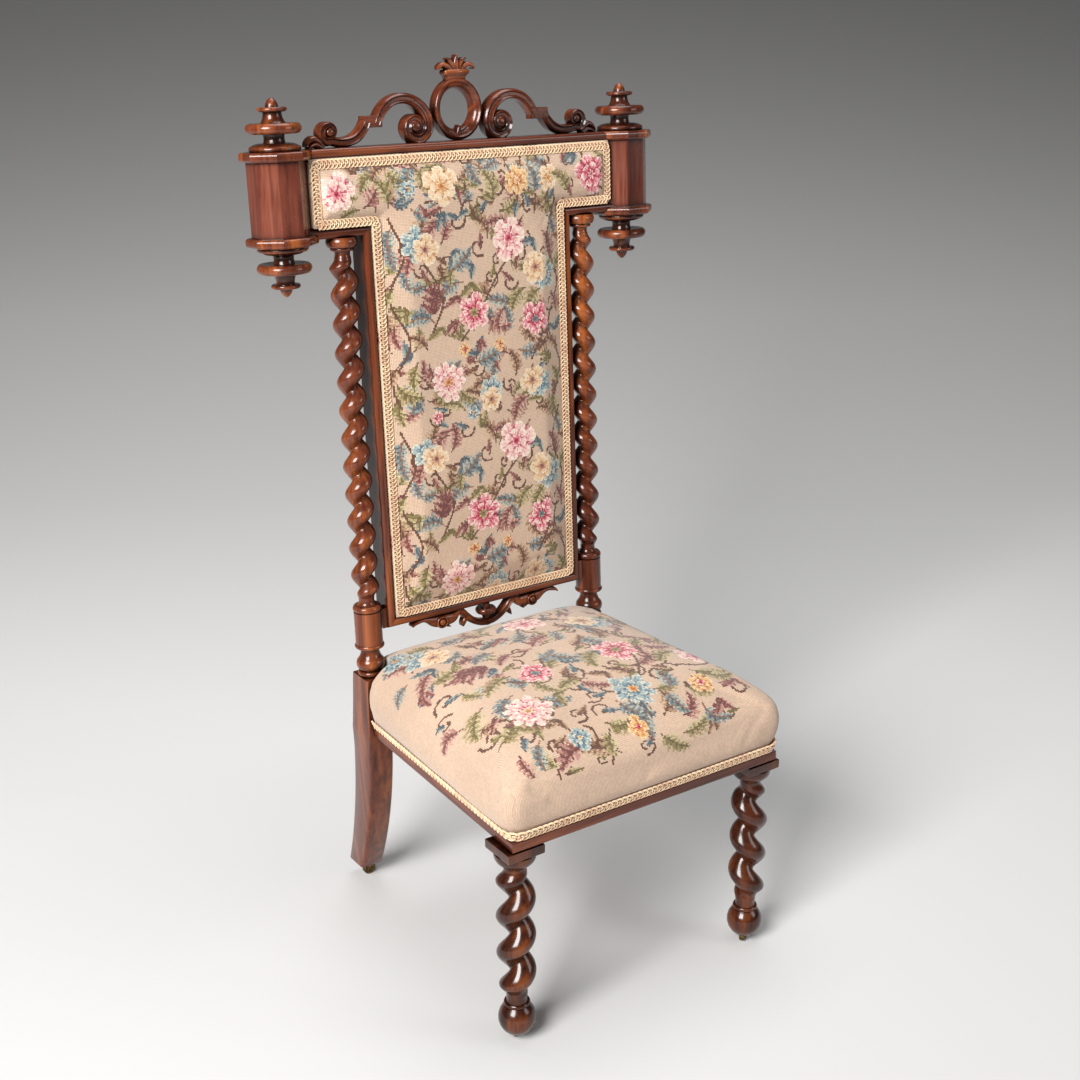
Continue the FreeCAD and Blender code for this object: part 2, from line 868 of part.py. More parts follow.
def oval(centre, half_width, half_height, lean_angle=0):
    """Ellipse in the XZ plane, leaning to the right of upright by the angle."""
    major = max(half_width, half_height)
    minor = min(half_width, half_height)
    curve = Part.Ellipse(Vector(0, 0, 0), major, minor).toShape()
    curve.rotate(Vector(0, 0, 0), Vector(1, 0, 0), 90)
    upright_turn = -90 if half_height > half_width else 0
    curve.rotate(Vector(0, 0, 0), Vector(0, 1, 0), upright_turn + lean_angle)
    curve.translate(centre)
    return Part.Face(Part.Wire(curve))


def plan_rectangle(left, bottom, right, top):
    corners = [Vector(left, 0, bottom), Vector(right, 0, bottom), Vector(right, 0, top), Vector(left, 0, top)]
    return Part.Face(Part.makePolygon(corners + corners[:1]))


def crest_half(inset):
    """Faces of the right-hand scrolls, from the ring outwards, each drawn in by the inset."""
    arch = Vector(float(size("crest_arch_centre")), 0, float(size("crest_arch_rise")))
    arch_radius = float(size("crest_arch_radius"))
    band = float(size("crest_band"))
    volute = Vector(float(size("crest_volute_centre")), 0, float(size("crest_volute_rise")))
    volute_radius = float(size("crest_volute_radius"))
    break_top = float(size("crest_break_top"))
    sweep_radius = float(size("crest_sweep_radius"))
    sweep = Vector(float(size("crest_sweep_centre")), 0, sweep_radius - 0.3)
    curl = Vector(float(size("crest_curl_centre")), 0, float(size("crest_curl_rise")))
    ear = Vector(float(size("crest_ear_centre")), 0, 0)
    arch_end = math.degrees(math.asin((break_top - arch.z) / arch_radius)) - 8
    heel = Vector(arch.x - arch_radius + volute_radius + 1, 0, arch.z)
    curl_angle = math.degrees(math.atan2(curl.z - sweep.z, curl.x - sweep.x))
    return [
        ring_sector(arch, arch_radius - inset, arch_radius - band + inset, arch_end, 185),
        disc(heel, volute_radius + 1 - inset),
        disc(volute, volute_radius - inset),
        plan_rectangle(float(size("crest_break_start")) + inset, float(size("crest_break_bottom")) + inset,
                       float(size("crest_break_end")) - inset, break_top - inset),
        ring_sector(sweep, sweep_radius - inset, sweep_radius - band - 1 + inset, 184, 360 + curl_angle),
        disc(curl, float(size("crest_curl_radius")) - inset),
        disc(ear, float(size("crest_ear_radius")) - inset),
    ]


def crest_level(inset, rear, front):
    """One level of the carving between two depths, with every scroll drawn in by the inset."""
    ring_height = float(size("crest_ring_height"))
    ring_width = float(size("crest_ring_width"))
    ring_band = float(size("crest_ring_band"))
    middle = Vector(0, rear, ring_height - 0.6)
    opening = ring_band - inset
    ring_top = middle.z + ring_height
    collar_half = float(size("crest_collar_width"))
    collar_top = ring_top + float(size("crest_collar_height")) - 3
    leaf = float(size("crest_leaf_height"))
    spread = float(size("crest_leaf_spread"))
    faces = crest_half(inset)
    link = float(size("crest_link_height")) - inset
    faces.append(plan_rectangle(ring_width * 0.5, 0, float(size("crest_arch_centre")) * 0.65, link))
    faces.append(plan_rectangle(-collar_half + inset, ring_top - 8, collar_half - inset, collar_top - inset))
    faces.append(oval(Vector(0, 0, collar_top + leaf / 2 - 2), leaf * 0.34 - inset, leaf * 0.62 - inset))
    tip = Vector(spread * 0.52, 0, collar_top + leaf * 0.28)
    faces.append(oval(tip, leaf * 0.28 - inset, leaf * 0.6 - inset, 58))
    depth = Vector(0, front - rear, 0)
    solids = []
    for face in faces:
        face.translate(Vector(0, rear, 0))
        solid = face.extrude(depth)
        solids.append(solid)
        solids.append(solid.mirror(Vector(0, 0, 0), Vector(1, 0, 0)))
    whole = oval(middle, ring_width - inset, ring_height - inset).extrude(depth).multiFuse(solids)
    hole = oval(middle, ring_width - opening, ring_height - opening).extrude(depth)
    reach = 2 * float(size("crest_ear_centre"))
    ground = Part.makeBox(2 * reach, reach, reach, Vector(-reach, -reach / 2, inset))
    return whole.cut(hole).common(ground)


def crest():
    """Pierced board in two levels: the full silhouette, and a raised field inside a sunk border."""
    thickness = float(size("crest_thickness"))
    step = thickness - float(size("crest_relief"))
    board = crest_level(0, 0, -step)
    field = crest_level(float(size("crest_border")), -step, -thickness)
    piece = formed("crest", board.fuse(field).removeSplitter())
    lean(piece, 0, size("frame_rear"), frame_top)
    return keep(piece, "crest")


# Apron

def apron():
    """Pierced scroll brackets that meet under the middle of the bottom rail."""
    reach = size("apron_reach")
    deep = size("apron_depth")
    boss = size("apron_boss_offset")
    neck = size("bobbin_neck_radius")
    body = new_body("apron")
    rear = -size("frame_front") + size("apron_set_back") + size("apron_thickness")
    sketch = new_sketch(body, "XZ_Plane", -rear)
    half = [
        (boss * 0.8, 0),
        (reach * 0.82, -deep * 0.12),
        (reach, -deep * 0.1),
        (reach, -deep * 0.36),
        (boss + 18, -deep * 0.5),
        (boss - 10, -deep * 0.66),
        (boss - 16, -deep * 0.5),
        (boss - 37, -deep * 0.62),
        (boss - 34, -deep * 0.92),
        (boss - 48, -deep * 0.86),
    ]
    mirrored = [(-as_size(x), y) for x, y in reversed(half)]
    corners = half + [(0, -deep)] + mirrored + [(-boss * 0.5, 0), (-boss * 0.3, -deep * 0.4),
                                               (-neck, -deep * 0.78), (neck, -deep * 0.78),
                                               (boss * 0.3, -deep * 0.4), (boss * 0.5, 0)]
    last = len(half)
    bows = {2: -size("apron_depth") * 0.14, 4: -size("apron_depth") * 0.65, 6: size("apron_depth") * 0.38}
    bows.update({2 * last - 1 - number: radius for number, radius in bows.items()})
    draw_outline(sketch, corners, bows)
    pad(body, sketch, size("apron_thickness"))
    bosses = new_sketch(body, "XZ_Plane", -(rear - size("apron_thickness")))
    for side in (-1, 1):
        draw_circle(bosses, side * boss, -size("apron_boss_drop"), size("apron_boss_radius"))
    pad(body, bosses, size("apron_boss_height"))
    lean(body, 0, 0, size("frame_bottom"))
    return keep(body, "apron")


def apron_bobbin():
    """Turned drop between the bottom rail and the meeting of the brackets."""
    drop = size("apron_depth") * 0.78
    neck = size("bobbin_neck_radius")
    wide = size("bobbin_disc_radius")
    start = drop * 0.55 - size("bobbin_disc_height") / 2
    finish = start + size("bobbin_disc_height")
    corners = [(0, 0), (neck * 0.6, 0), (neck, start), (wide, start), (wide, finish), (neck, finish),
               (neck, drop), (0, drop)]
    bows = {1: size("apron_depth") * 0.5, 3: size("bobbin_disc_height") * 0.6, 5: -size("apron_depth") * 0.4}
    body = revolve("apron_bobbin", corners, bows)
    middle = size("apron_set_back") + size("apron_thickness") / 2 - size("frame_front")
    lean(body, 0, middle, size("frame_bottom") - drop)
    return keep(body, "apron_bobbin")


# Upholstery of the back

def tee(inset, extra=0):
    """Outline of the T, drawn in from the frame's outer edge; its bar runs on into the blocks."""
    reach = bar_reach + extra
    half = size("frame_half_width") - inset
    low = size("frame_bottom") + inset
    bar = bar_bottom + inset
    top = frame_top - inset
    return [(-reach, top), (reach, top), (reach, bar), (half, bar), (half, low),
            (-half, low), (-half, bar), (-reach, bar)]


ledge = -size("frame_front") + size("rebate_depth")
hessian_rear = ledge - 2 * size("webbing_thickness")
hessian_front = hessian_rear - size("hessian_thickness")
flange_front = -size("frame_front") + size("gimp_thickness") / 4
crown_front = flange_front - size("back_crown")


def back_strips():
    strips = []
    thickness = size("webbing_thickness")
    reach = lip_half - 4
    low = size("frame_bottom") + size("lip_width") + 4
    high = frame_top - size("lip_width") - 4
    step = (bar_bottom - size("frame_bottom")) / BACK_STRIPS_ACROSS
    for number in range(BACK_STRIPS_ACROSS):
        height = size("frame_bottom") + step * (number + 0.5) + size("lip_width")
        strip = box("back_strip", -reach, ledge - thickness, height, 2 * reach, thickness, size("webbing_width"))
        strips.append(strip)
    gap = 2 * inner_half / BACK_STRIPS_UP
    for number in range(BACK_STRIPS_UP):
        start = -inner_half + gap * (number + 0.5) - size("webbing_width") / 2
        strip = box("back_strip", start, ledge - 2 * thickness, low, size("webbing_width"), thickness, high - low)
        strips.append(strip)
    piece = compound("back_webbing", strips)
    lean(piece)
    return keep(piece, "back_webbing")


def back_sheet(name, inset, front, rear):
    body = panel(f"{name}_sheet", tee(inset), front, rear)
    piece = cut(name, body, upright_block_tools)
    lean(piece)
    return keep(piece, name)


def upright_tools(name, grow):
    """Block clearance solids in the leaning frame itself, before it leans."""
    pieces = []
    for side in (-1, 1):
        prism_piece = prism(f"{name}_{side_name(side)}", octagon(size("block_flats") + 2 * grow), 0, 2 * frame_top)
        place(prism_piece, side * size("block_offset"), size("block_set_back"), 0)
        pieces.append(prism_piece)
    return fuse(name, *pieces)


upright_block_tools = upright_tools("upright_block_tools", soft_gap)


def padded_tee(name, flange_inset, flange, crown_inset, crown, rear, extra=0):
    """T-shaped pad: a flat flange at the edge, and a full crown inside it that rolls over to the flange."""
    body = panel(f"{name}_pad", tee(flange_inset, extra), flange, rear)
    sketch = new_sketch(body, "XZ_Plane", -as_size(flange))
    draw_outline(sketch, tee(crown_inset, extra))
    pad(body, sketch, as_size(flange) - crown)
    fillet(body, size("back_crown_round"), lambda edge: lies_at(edge, "y", crown))
    return body


def back_upholstery():
    back_sheet("back_hessian", size("lip_width") + 3, hessian_front, hessian_rear)
    thick = size("cover_thickness")
    edge = size("lip_width") + soft_gap
    crown_edge = edge + size("gimp_width") + soft_gap
    inner_pad = padded_tee("stuffing", edge + thick + soft_gap, flange_front + thick + soft_gap,
                           crown_edge + thick + soft_gap, crown_front + thick + soft_gap, hessian_front)
    inner = cut("back_stuffing", inner_pad, upright_block_tools)
    lean(inner)
    keep(inner, "back_stuffing")
    outer_pad = padded_tee("cover_outer", edge, flange_front, crown_edge, crown_front, hessian_front)
    outer = cut("cover_trimmed", outer_pad, upright_block_tools)
    hollow = padded_tee("cover_hollow", edge + thick, flange_front + thick, crown_edge + thick,
                        crown_front + thick, hessian_front + size("back_crown"), thick)
    cover = cut("back_cover", outer, hollow)
    lean(cover)
    keep(cover, "back_cover")
    strip = panel("gimp_strip", tee(edge), flange_front - size("gimp_thickness"), flange_front)
    inside = panel("gimp_inside", tee(crown_edge - soft_gap), flange_front - 2 * size("gimp_thickness"), 0)
    ring = cut("gimp_ring", cut("gimp_trim", strip, inside), upright_block_tools)
    lean(ring)
    keep(ring, "back_gimp")
    rear = size("frame_rear")
    back_sheet("back_lining", size("lining_inset"), rear, rear + size("lining_thickness"))


# Seat frame

seat_front = -size("seat_front")
front_inner = seat_front + size("front_rail_width")


def side_line(start_half, y):
    """Half width of the seat at a depth, between the front corner and the rear leg."""
    share = (as_size(y) - seat_front) / (leg_front - seat_front)
    return start_half - (size("seat_front_half") - size("seat_rear_half")) * share


def rail_body(name, lower, upper, rounded):
    """Seat rail: a moulded lower edge that shows, and a set-back face above it under the cover."""
    body = prism(f"{name}_wood", lower, size("seat_bottom"), size("seat_moulding_height"))
    sketch = new_sketch(body, "XY_Plane", size("seat_bottom") + size("seat_moulding_height"))
    draw_outline(sketch, upper)
    pad(body, sketch, size("seat_rail_height") - size("seat_moulding_height"))
    levels = (size("seat_bottom"), size("seat_bottom") + size("seat_moulding_height"))
    fillet(body, size("seat_moulding_round"),
           lambda edge: rounded(edge) and any(lies_at(edge, "z", level) for level in levels))
    return body


def leg_socket(body, x):
    sketch = new_sketch(body, "XY_Plane", size("seat_bottom"))
    draw_circle(sketch, x, -size("front_leg_depth"), size("leg_spigot_radius") + clearance)
    pocket(body, sketch, size("leg_spigot_length") + clearance, reverse=True)


def front_seat_rail(corner_space):
    outer = size("seat_front_half")
    inner = side_line(outer - size("side_rail_width"), front_inner)
    recess = size("seat_rail_recess")
    lower = [(-outer, seat_front), (outer, seat_front), (inner, front_inner), (-inner, front_inner)]
    share = recess / size("front_rail_width")
    slip = (outer - inner) * share
    upper = [(-(outer - slip), seat_front + recess), (outer - slip, seat_front + recess),
             (inner, front_inner), (-inner, front_inner)]
    body = rail_body("front_seat_rail", lower, upper, lambda edge: lies_at(edge, "y", seat_front))
    for side in (-1, 1):
        leg_socket(body, side * size("front_leg_offset"))
    return keep(cut("front_seat_rail", body, corner_space), "front_seat_rail")


def side_seat_rail(side, corner_space):
    name = f"{side_name(side)}_seat_rail"
    outer = size("seat_front_half")
    rear = size("seat_rear_half")
    width = size("side_rail_width")
    inner = side_line(outer - width, front_inner)
    slip = (outer - inner) * (size("seat_rail_recess") / size("front_rail_width"))
    lower = [(side * outer, seat_front), (side * rear, leg_front), (side * (rear - width), leg_front),
             (side * inner, front_inner)]
    upper = [(side * (outer - slip), seat_front + size("seat_rail_recess")),
             (side * (rear - slip), leg_front), (side * (rear - width), leg_front),
             (side * inner, front_inner)]
    start = Vector(side * float(outer), float(seat_front), 0)
    finish = Vector(side * float(rear), float(leg_front), 0)

    def on_outer_side(edge):
        flat = [Vector(vertex.Point.x, vertex.Point.y, 0) for vertex in edge.Vertexes]
        return all(point.distanceToLine(start, finish - start) < 1e-3 for point in flat)

    body = rail_body(name, lower, upper, on_outer_side)
    leg_socket(body, side * size("front_leg_offset"))
    half = size("tenon_thickness") / 2
    middle = side * size("column_offset")
    sketch = new_sketch(body, "XY_Plane", tenon_z)
    draw_outline(sketch, [(middle - half, leg_front - 1), (middle + half, leg_front - 1),
                          (middle + half, leg_front + size("tenon_length")),
                          (middle - half, leg_front + size("tenon_length"))])
    pad(body, sketch, size("tenon_height"))
    return keep(cut(name, body, corner_space), name)


def back_seat_rail():
    half = leg_inner
    front = leg_rear - size("back_rail_width")
    set_back = leg_rear - size("seat_rail_recess")
    lower = [(-half, front), (half, front), (half, leg_rear), (-half, leg_rear)]
    upper = [(-half, front), (half, front), (half, set_back), (-half, set_back)]
    body = rail_body("back_seat_rail", lower, upper, lambda edge: lies_at(edge, "y", leg_rear))
    sketch = new_sketch(body, "XY_Plane", tenon_z)
    end = half + size("tenon_length")
    near = back_tenon_front
    far = back_tenon_front + size("tenon_thickness")
    draw_outline(sketch, [(-end, near), (end, near), (end, far), (-end, far)])
    pad(body, sketch, size("tenon_height"))
    return keep(body, "back_seat_rail")


def seat_corner_blocks():
    blocks = []
    length = size("corner_block_leg")
    bottom = seat_rail_top - size("corner_block_height")
    for side in (-1, 1):
        inner = side_line(size("seat_front_half") - size("side_rail_width"), front_inner)
        along = side_line(size("seat_front_half") - size("side_rail_width"), front_inner + length)
        corners = [(side * inner, front_inner), (side * along, front_inner + length),
                   (side * (inner - length), front_inner)]
        blocks.append(prism(f"{side_name(side)}_corner_block", corners, bottom, size("corner_block_height")))
    return keep(compound("seat_corner_blocks", blocks), "seat_corner_blocks")


# Front legs

ball_low = size("ball_centre") - root(size("ball_radius") * size("ball_radius")
                                      - size("recess_radius") * size("recess_radius"))
ball_high = 2 * size("ball_centre") - ball_low
collar_end = ball_high + size("ball_collar_height")
leg_twist_start = collar_end + size("ball_neck_height")
plate_bottom = size("seat_bottom") - size("collar_plate_height")
leg_twist_top = plate_bottom - size("cup_height")


def front_leg(side):
    """Ball foot, twist, cup and square collar in one turning, with a spigot up into the seat frame."""
    label = f"front_{side_name(side)}_leg"
    foot_height = size("leg_foot_height")
    socket = size("socket_radius") + clearance
    socket_top = foot_height + size("socket_length") + clearance
    foot = revolve(f"{label}_foot", [
        (0, socket_top), (socket, socket_top), (socket, foot_height), (size("recess_radius"), foot_height),
        (size("recess_radius"), ball_low), (size("recess_radius"), ball_high),
        (size("ball_collar_radius"), ball_high), (size("ball_collar_radius"), collar_end),
        (size("ball_neck_radius"), collar_end), (size("leg_end_radius"), leg_twist_start),
        (0, leg_twist_start)],
        {4: size("ball_radius"), 6: size("ball_collar_height") * 0.6, 8: -size("ball_neck_height") * 2})
    top = revolve(f"{label}_cup", [
        (0, leg_twist_top), (size("leg_end_radius"), leg_twist_top),
        (size("cup_neck_radius"), leg_twist_top + size("cup_height") * 0.25),
        (size("cup_radius"), plate_bottom - size("cup_height") * 0.15), (size("cup_radius"), plate_bottom),
        (size("leg_spigot_radius"), plate_bottom),
        (size("leg_spigot_radius"), size("seat_bottom") + size("leg_spigot_length")),
        (0, size("seat_bottom") + size("leg_spigot_length"))],
        {1: -size("cup_height") * 0.5, 2: size("cup_height") * 0.75})
    half = size("collar_plate_width") / 2
    plate = prism(f"{label}_plate", [(-half, -half), (half, -half), (half, half), (-half, half)],
                  plate_bottom, size("collar_plate_height"))
    fillet(plate, 2, lambda edge: lies_at(edge, "z", plate_bottom))
    strand = twist(
        f"{label}_twist", float(size("leg_strand_radius")), float(size("leg_throw")),
        float(size("leg_end_radius")), float(size("leg_run_out")),
        float(leg_twist_top - leg_twist_start), float(size("leg_twist_turns")), -side)
    place(strand, 0, 0, leg_twist_start)
    whole = fuse(label, foot, strand, top, plate)
    place(whole, side * size("front_leg_offset"), -size("front_leg_depth"), 0)
    return keep(whole, label)


# Upholstery of the seat

hessian_low = seat_rail_top + 2 * size("webbing_thickness")
hessian_high = hessian_low + size("hessian_thickness")
gimp_low = size("seat_bottom") + size("seat_moulding_height")


def plan_points(inset, height, drift):
    """Rounded plan outline of the cushion, drawn in by an inset and shifted to the rear by a drift."""
    inset = float(inset)
    out = float(size("cushion_overhang"))
    taper = float((size("seat_front_half") - size("seat_rear_half")) / (leg_front - seat_front))
    front = float(seat_front) - out + inset + drift
    rear = float(size("cushion_rear")) - inset * 0.8 + drift * 0.3
    front_half = float(size("seat_front_half")) + out - inset - taper * (front - float(seat_front))
    rear_half = front_half - taper * (rear - front)
    corner = float(size("cushion_corner")) + 0.4 * max(inset - float(size("cushion_draw_in")), 0)
    corner = min(corner, 0.45 * min(rear_half * 2, rear - front))
    knees = [
        (Vector(front_half, front, height), Vector(1, 0, 0), Vector(-taper, 1, 0)),
        (Vector(rear_half, rear, height), Vector(-taper, 1, 0), Vector(-1, 0, 0)),
        (Vector(-rear_half, rear, height), Vector(-1, 0, 0), Vector(-taper, -1, 0)),
        (Vector(-front_half, front, height), Vector(-taper, -1, 0), Vector(1, 0, 0)),
    ]
    points = []
    for knee, inward, outward in knees:
        for step in range(CORNER_STEPS + 1):
            turn = math.pi / 2 * step / CORNER_STEPS
            points.append(knee - inward * corner * (1 - math.sin(turn)) + outward * corner * (1 - math.cos(turn)))
    return points


def facet(points):
    return Part.Face(Part.makePolygon(points + points[:1]))


def banded_solid(rings):
    """Solid through rings of points whose sides run parallel from ring to ring, so that every facet is flat."""
    faces = [facet(rings[0]), facet(rings[-1])]
    for lower, upper in zip(rings, rings[1:]):
        for number in range(len(lower)):
            after = (number + 1) % len(lower)
            faces.append(facet([lower[number], lower[after], upper[after], upper[number]]))
    shell = Part.makeShell(faces)
    shell.sewShape()
    solid = Part.makeSolid(shell)
    if solid.Volume < 0:
        solid.reverse()
    return solid


def cushion_form(shrink, base):
    """Domed cushion: drawn in at the gimp, full at the side, rounded over the edge and rising to the crown."""
    low = float(gimp_low)
    edge = float(size("cushion_edge_height"))
    crown = float(size("cushion_crown_height"))
    draw_in = float(size("cushion_draw_in"))
    side = edge - low
    rise = crown - edge
    sections = [(low + side * share, draw_in * inset) for share, inset in
                ((0, 1), (0.25, 0.3), (0.55, 0), (0.82, 0.2), (1, 0.95))]
    sections += [(edge + rise * share, inset) for share, inset in
                 ((0.4, 34), (0.68, 66), (0.87, 102), (0.97, 136), (1, 160))]
    rings = []
    if base is not None:
        rings.append(plan_points(draw_in + shrink, base, 0))
    for height, inset in sections:
        sink = shrink * min(max((height - low) / side, 0), 1)
        rings.append(plan_points(inset + shrink, height - sink, inset * 0.25))
    return banded_solid(rings)


def rail_corner_space():
    """Space outside the cushion above the moulding, where the seat rails' corners are rounded away."""
    shrink = float(size("cover_thickness") + clearance)
    inside = formed("rail_inside", cushion_form(shrink, float(gimp_low) - 5))
    block = box("rail_block", -2 * size("seat_front_half"), 2 * seat_front, gimp_low, 4 * size("seat_front_half"),
                leg_front - 2 * seat_front, size("seat_rail_height"))
    return cut("rail_corner_space", block, inside)


def upright_notch(name, grow):
    """Space of both rear uprights near the seat."""
    notches = []
    wide = 2 * size("leg_width")
    for side in (-1, 1):
        start = side * (leg_inner - grow + wide / 2) - wide / 2
        notches.append(box(f"{name}_{side_name(side)}", start, leg_front - grow, size("seat_bottom"),
                           wide, 4 * size("leg_depth"), size("cushion_crown_height")))
    return notches


def seat_prism(name, grow, top):
    """Solid of the seat frame's outline, up to a height."""
    front = side_line(size("seat_front_half") - size("seat_rail_recess") * 0.75 + grow, seat_front)
    rear = size("seat_rear_half") - size("seat_rail_recess") * 0.75 + grow
    start = seat_front + size("seat_rail_recess") - grow
    corners = [(-front, start), (front, start), (rear, leg_front), (rear, size("cushion_rear") + 50),
               (-rear, size("cushion_rear") + 50), (-rear, leg_front)]
    return prism(name, corners, 0, top)


def seat_strips():
    strips = []
    thickness = size("webbing_thickness")
    inner = size("seat_rear_half") - size("side_rail_width")
    front = seat_front + size("front_rail_width") / 2
    rear = leg_rear - size("leg_depth") / 4
    reach = inner + size("side_rail_width") / 2
    gap = 2 * inner / SEAT_STRIPS_ACROSS
    for number in range(SEAT_STRIPS_ACROSS):
        start = -inner + gap * (number + 0.5) - size("webbing_width") / 2
        strips.append(box("seat_strip", start, front, seat_rail_top, size("webbing_width"), rear - front, thickness))
    step = (leg_front - front_inner) / SEAT_STRIPS_DEEP
    for number in range(SEAT_STRIPS_DEEP):
        start = front_inner + step * (number + 0.5) - size("webbing_width") / 2
        strips.append(box("seat_strip", -reach, start, seat_rail_top + thickness, 2 * reach,
                          size("webbing_width"), thickness))
    return keep(compound("seat_webbing", strips), "seat_webbing")


def seat_upholstery():
    seat_strips()
    thick = float(size("cover_thickness"))
    gap = float(soft_gap)
    reach = size("seat_rear_half") - size("side_rail_width") / 3
    front = seat_front + size("front_rail_width") / 3
    hessian = prism("seat_hessian", [(-reach, front), (reach, front), (reach, leg_front - 1), (-reach, leg_front - 1)],
                    hessian_low, size("hessian_thickness"))
    keep(hessian, "seat_hessian")
    notch = fuse("cushion_notch", *upright_notch("cushion_notch_side", soft_gap + 0.2))
    filling = formed("seat_filling", cushion_form(thick + gap, None))
    seat_space = seat_prism("seat_space", soft_gap, hessian_high + soft_gap)
    back_space = fuse("stuffing_tools", seat_space, notch)
    keep(cut("seat_stuffing", filling, back_space), "seat_stuffing")
    outside = formed("cover_form", cushion_form(0, None))
    inside = formed("cover_inside", cushion_form(thick, float(gimp_low) - 5))
    cover_tools = fuse("cover_tools", inside, notch)
    keep(cut("seat_cover", outside, cover_tools), "seat_cover")
    braid_outside = formed("braid_outside", cushion_form(-float(size("gimp_thickness")) - gap, None))
    braid_inside = formed("braid_inside", cushion_form(-gap, float(gimp_low) - 5))
    slab = box("braid_slab", -2 * size("seat_front_half"), 2 * seat_front, gimp_low,
               4 * size("seat_front_half"), leg_front - soft_gap - 2 * seat_front, size("gimp_width"))
    keep(common("seat_gimp", cut("braid_shell", braid_outside, braid_inside), slab), "seat_gimp")
    inner_front = side_line(size("seat_front_half") - size("side_rail_width"), front_inner) - soft_gap
    inner_rear = size("seat_rear_half") - size("side_rail_width") - soft_gap
    cloth = prism("seat_dust_cover", [
        (-inner_front, front_inner + soft_gap), (inner_front, front_inner + soft_gap),
        (inner_rear, leg_front - soft_gap), (-inner_rear, leg_front - soft_gap)],
        size("seat_bottom") + 1, size("dust_cover_thickness"))
    keep(cloth, "seat_dust_cover")


# Castors

def castor(name, x, y, heading):
    """Brass castor under a leg: plate with socket, swivelling horn, axle pin and wheel."""
    top = size("leg_foot_height")
    bore = size("stem_radius") + size("running_gap")
    plate_low = top - size("plate_thickness")
    stem_top = top + size("stem_length") - size("plate_thickness")
    plate = revolve(f"{name}_castor_plate", [
        (bore, plate_low), (size("plate_radius"), plate_low), (size("plate_radius"), top),
        (size("socket_radius"), top), (size("socket_radius"), top + size("socket_length")),
        (0, top + size("socket_length")), (0, stem_top + 1), (bore, stem_top + 1)],
        {1: size("plate_thickness") * 0.9})
    place(plate, x, y, 0)
    keep(plate, f"{name}_castor_plate")
    crown_high = plate_low - 2 * clearance
    crown_low = crown_high - size("horn_crown_thickness")
    stem = revolve(f"{name}_stem", [
        (0, crown_low), (size("horn_crown_radius"), crown_low), (size("horn_crown_radius"), crown_high),
        (size("stem_radius"), crown_high), (size("stem_radius"), stem_top), (0, stem_top)])
    cheek_gap = size("wheel_width") / 2 + size("wheel_side_gap")
    trail = size("castor_trail")
    axle_height = size("wheel_radius")
    half = size("horn_cheek_width") / 2
    cheeks = []
    for hand in (-1, 1):
        cheek = new_body(f"{name}_cheek")
        near = cheek_gap if hand > 0 else -cheek_gap - size("horn_cheek_thickness")
        sketch = new_sketch(cheek, "XZ_Plane", -(near + size("horn_cheek_thickness")))
        draw_outline(sketch, [(-half, crown_high - size("horn_crown_thickness") / 2), (trail - half, axle_height),
                              (trail + half, axle_height), (half, crown_high - size("horn_crown_thickness") / 2)],
                     {1: half * 1.2})
        pad(cheek, sketch, size("horn_cheek_thickness"))
        hole = new_sketch(cheek, "XZ_Plane", -(near + size("horn_cheek_thickness")))
        draw_circle(hole, trail, axle_height, size("axle_radius"))
        pocket(cheek, hole, size("horn_cheek_thickness"), reverse=True)
        cheeks.append(cheek)
    horn = fuse(f"{name}_castor_horn", stem, *cheeks)
    place(horn, x, y, 0, (0, 0, 1), heading)
    keep(horn, f"{name}_castor_horn")
    length = 2 * (cheek_gap + size("horn_cheek_thickness"))
    pin = new_body(f"{name}_axle")
    sketch = new_sketch(pin, "XZ_Plane")
    draw_circle(sketch, trail, axle_height, size("axle_radius"))
    pad(pin, sketch, length, middle=True)
    place(pin, x, y, 0, (0, 0, 1), heading)
    keep(pin, f"{name}_castor_axle")
    wheel = new_body(f"{name}_wheel")
    sketch = new_sketch(wheel, "XZ_Plane")
    draw_circle(sketch, trail, axle_height, size("wheel_radius"))
    draw_circle(sketch, trail, axle_height, size("axle_radius") + size("running_gap"))
    pad(wheel, sketch, size("wheel_width"), middle=True)
    rim = float(size("wheel_radius"))
    fillet(wheel, 1.5, lambda edge: len(edge.Vertexes) == 1 and edge.Length > 2 * math.pi * (rim - 0.1))
    place(wheel, x, y, 0, (0, 0, 1), heading)
    keep(wheel, f"{name}_castor_wheel")


# Build order

corner_space = rail_corner_space()
for side in (-1, 1):
    upright(side)
    front_leg(side)
    octagon_block(side)
    block_cap(side, "upper", frame_top - size("cap_thickness"))
    block_cap(side, "lower", block_start - size("cap_thickness"))
    turned_knop(f"{side_name(side)}_finial", side, frame_top, -rake)
    turned_knop(f"{side_name(side)}_pendant", side, block_start - size("cap_thickness"), 180 - rake)
    arm_rail(side)
    stile(side)
    spacer_block(side)
    side_seat_rail(side, corner_space)
top_rail()
bottom_rail()
crest()
apron()
apron_bobbin()
back_strips()
back_upholstery()
front_seat_rail(corner_space)
back_seat_rail()
seat_corner_blocks()
seat_upholstery()
rear_x = size("column_offset") - size("leg_foot_inset")
castor("front_left", -size("front_leg_offset"), -size("front_leg_depth"), 90)
castor("front_right", size("front_leg_offset"), -size("front_leg_depth"), 215)
castor("rear_left", -rear_x, foot_middle_depth, 0)
castor("rear_right", rear_x, foot_middle_depth, 20)
doc.recompute()

for item in doc.Objects:
    if "Invalid" in item.State or "Error" in item.State:
        raise ValueError(f"{item.Name} did not build: {item.State}")
for piece in parts:
    if piece.Shape.isNull() or not piece.Shape.isValid():
        raise ValueError(f"{piece.Label} has no valid shape")

os.makedirs("parts", exist_ok=True)
for piece in parts:
    piece.Shape.exportStep(f"parts/{piece.Label}.step")
print(len(parts), "parts written")
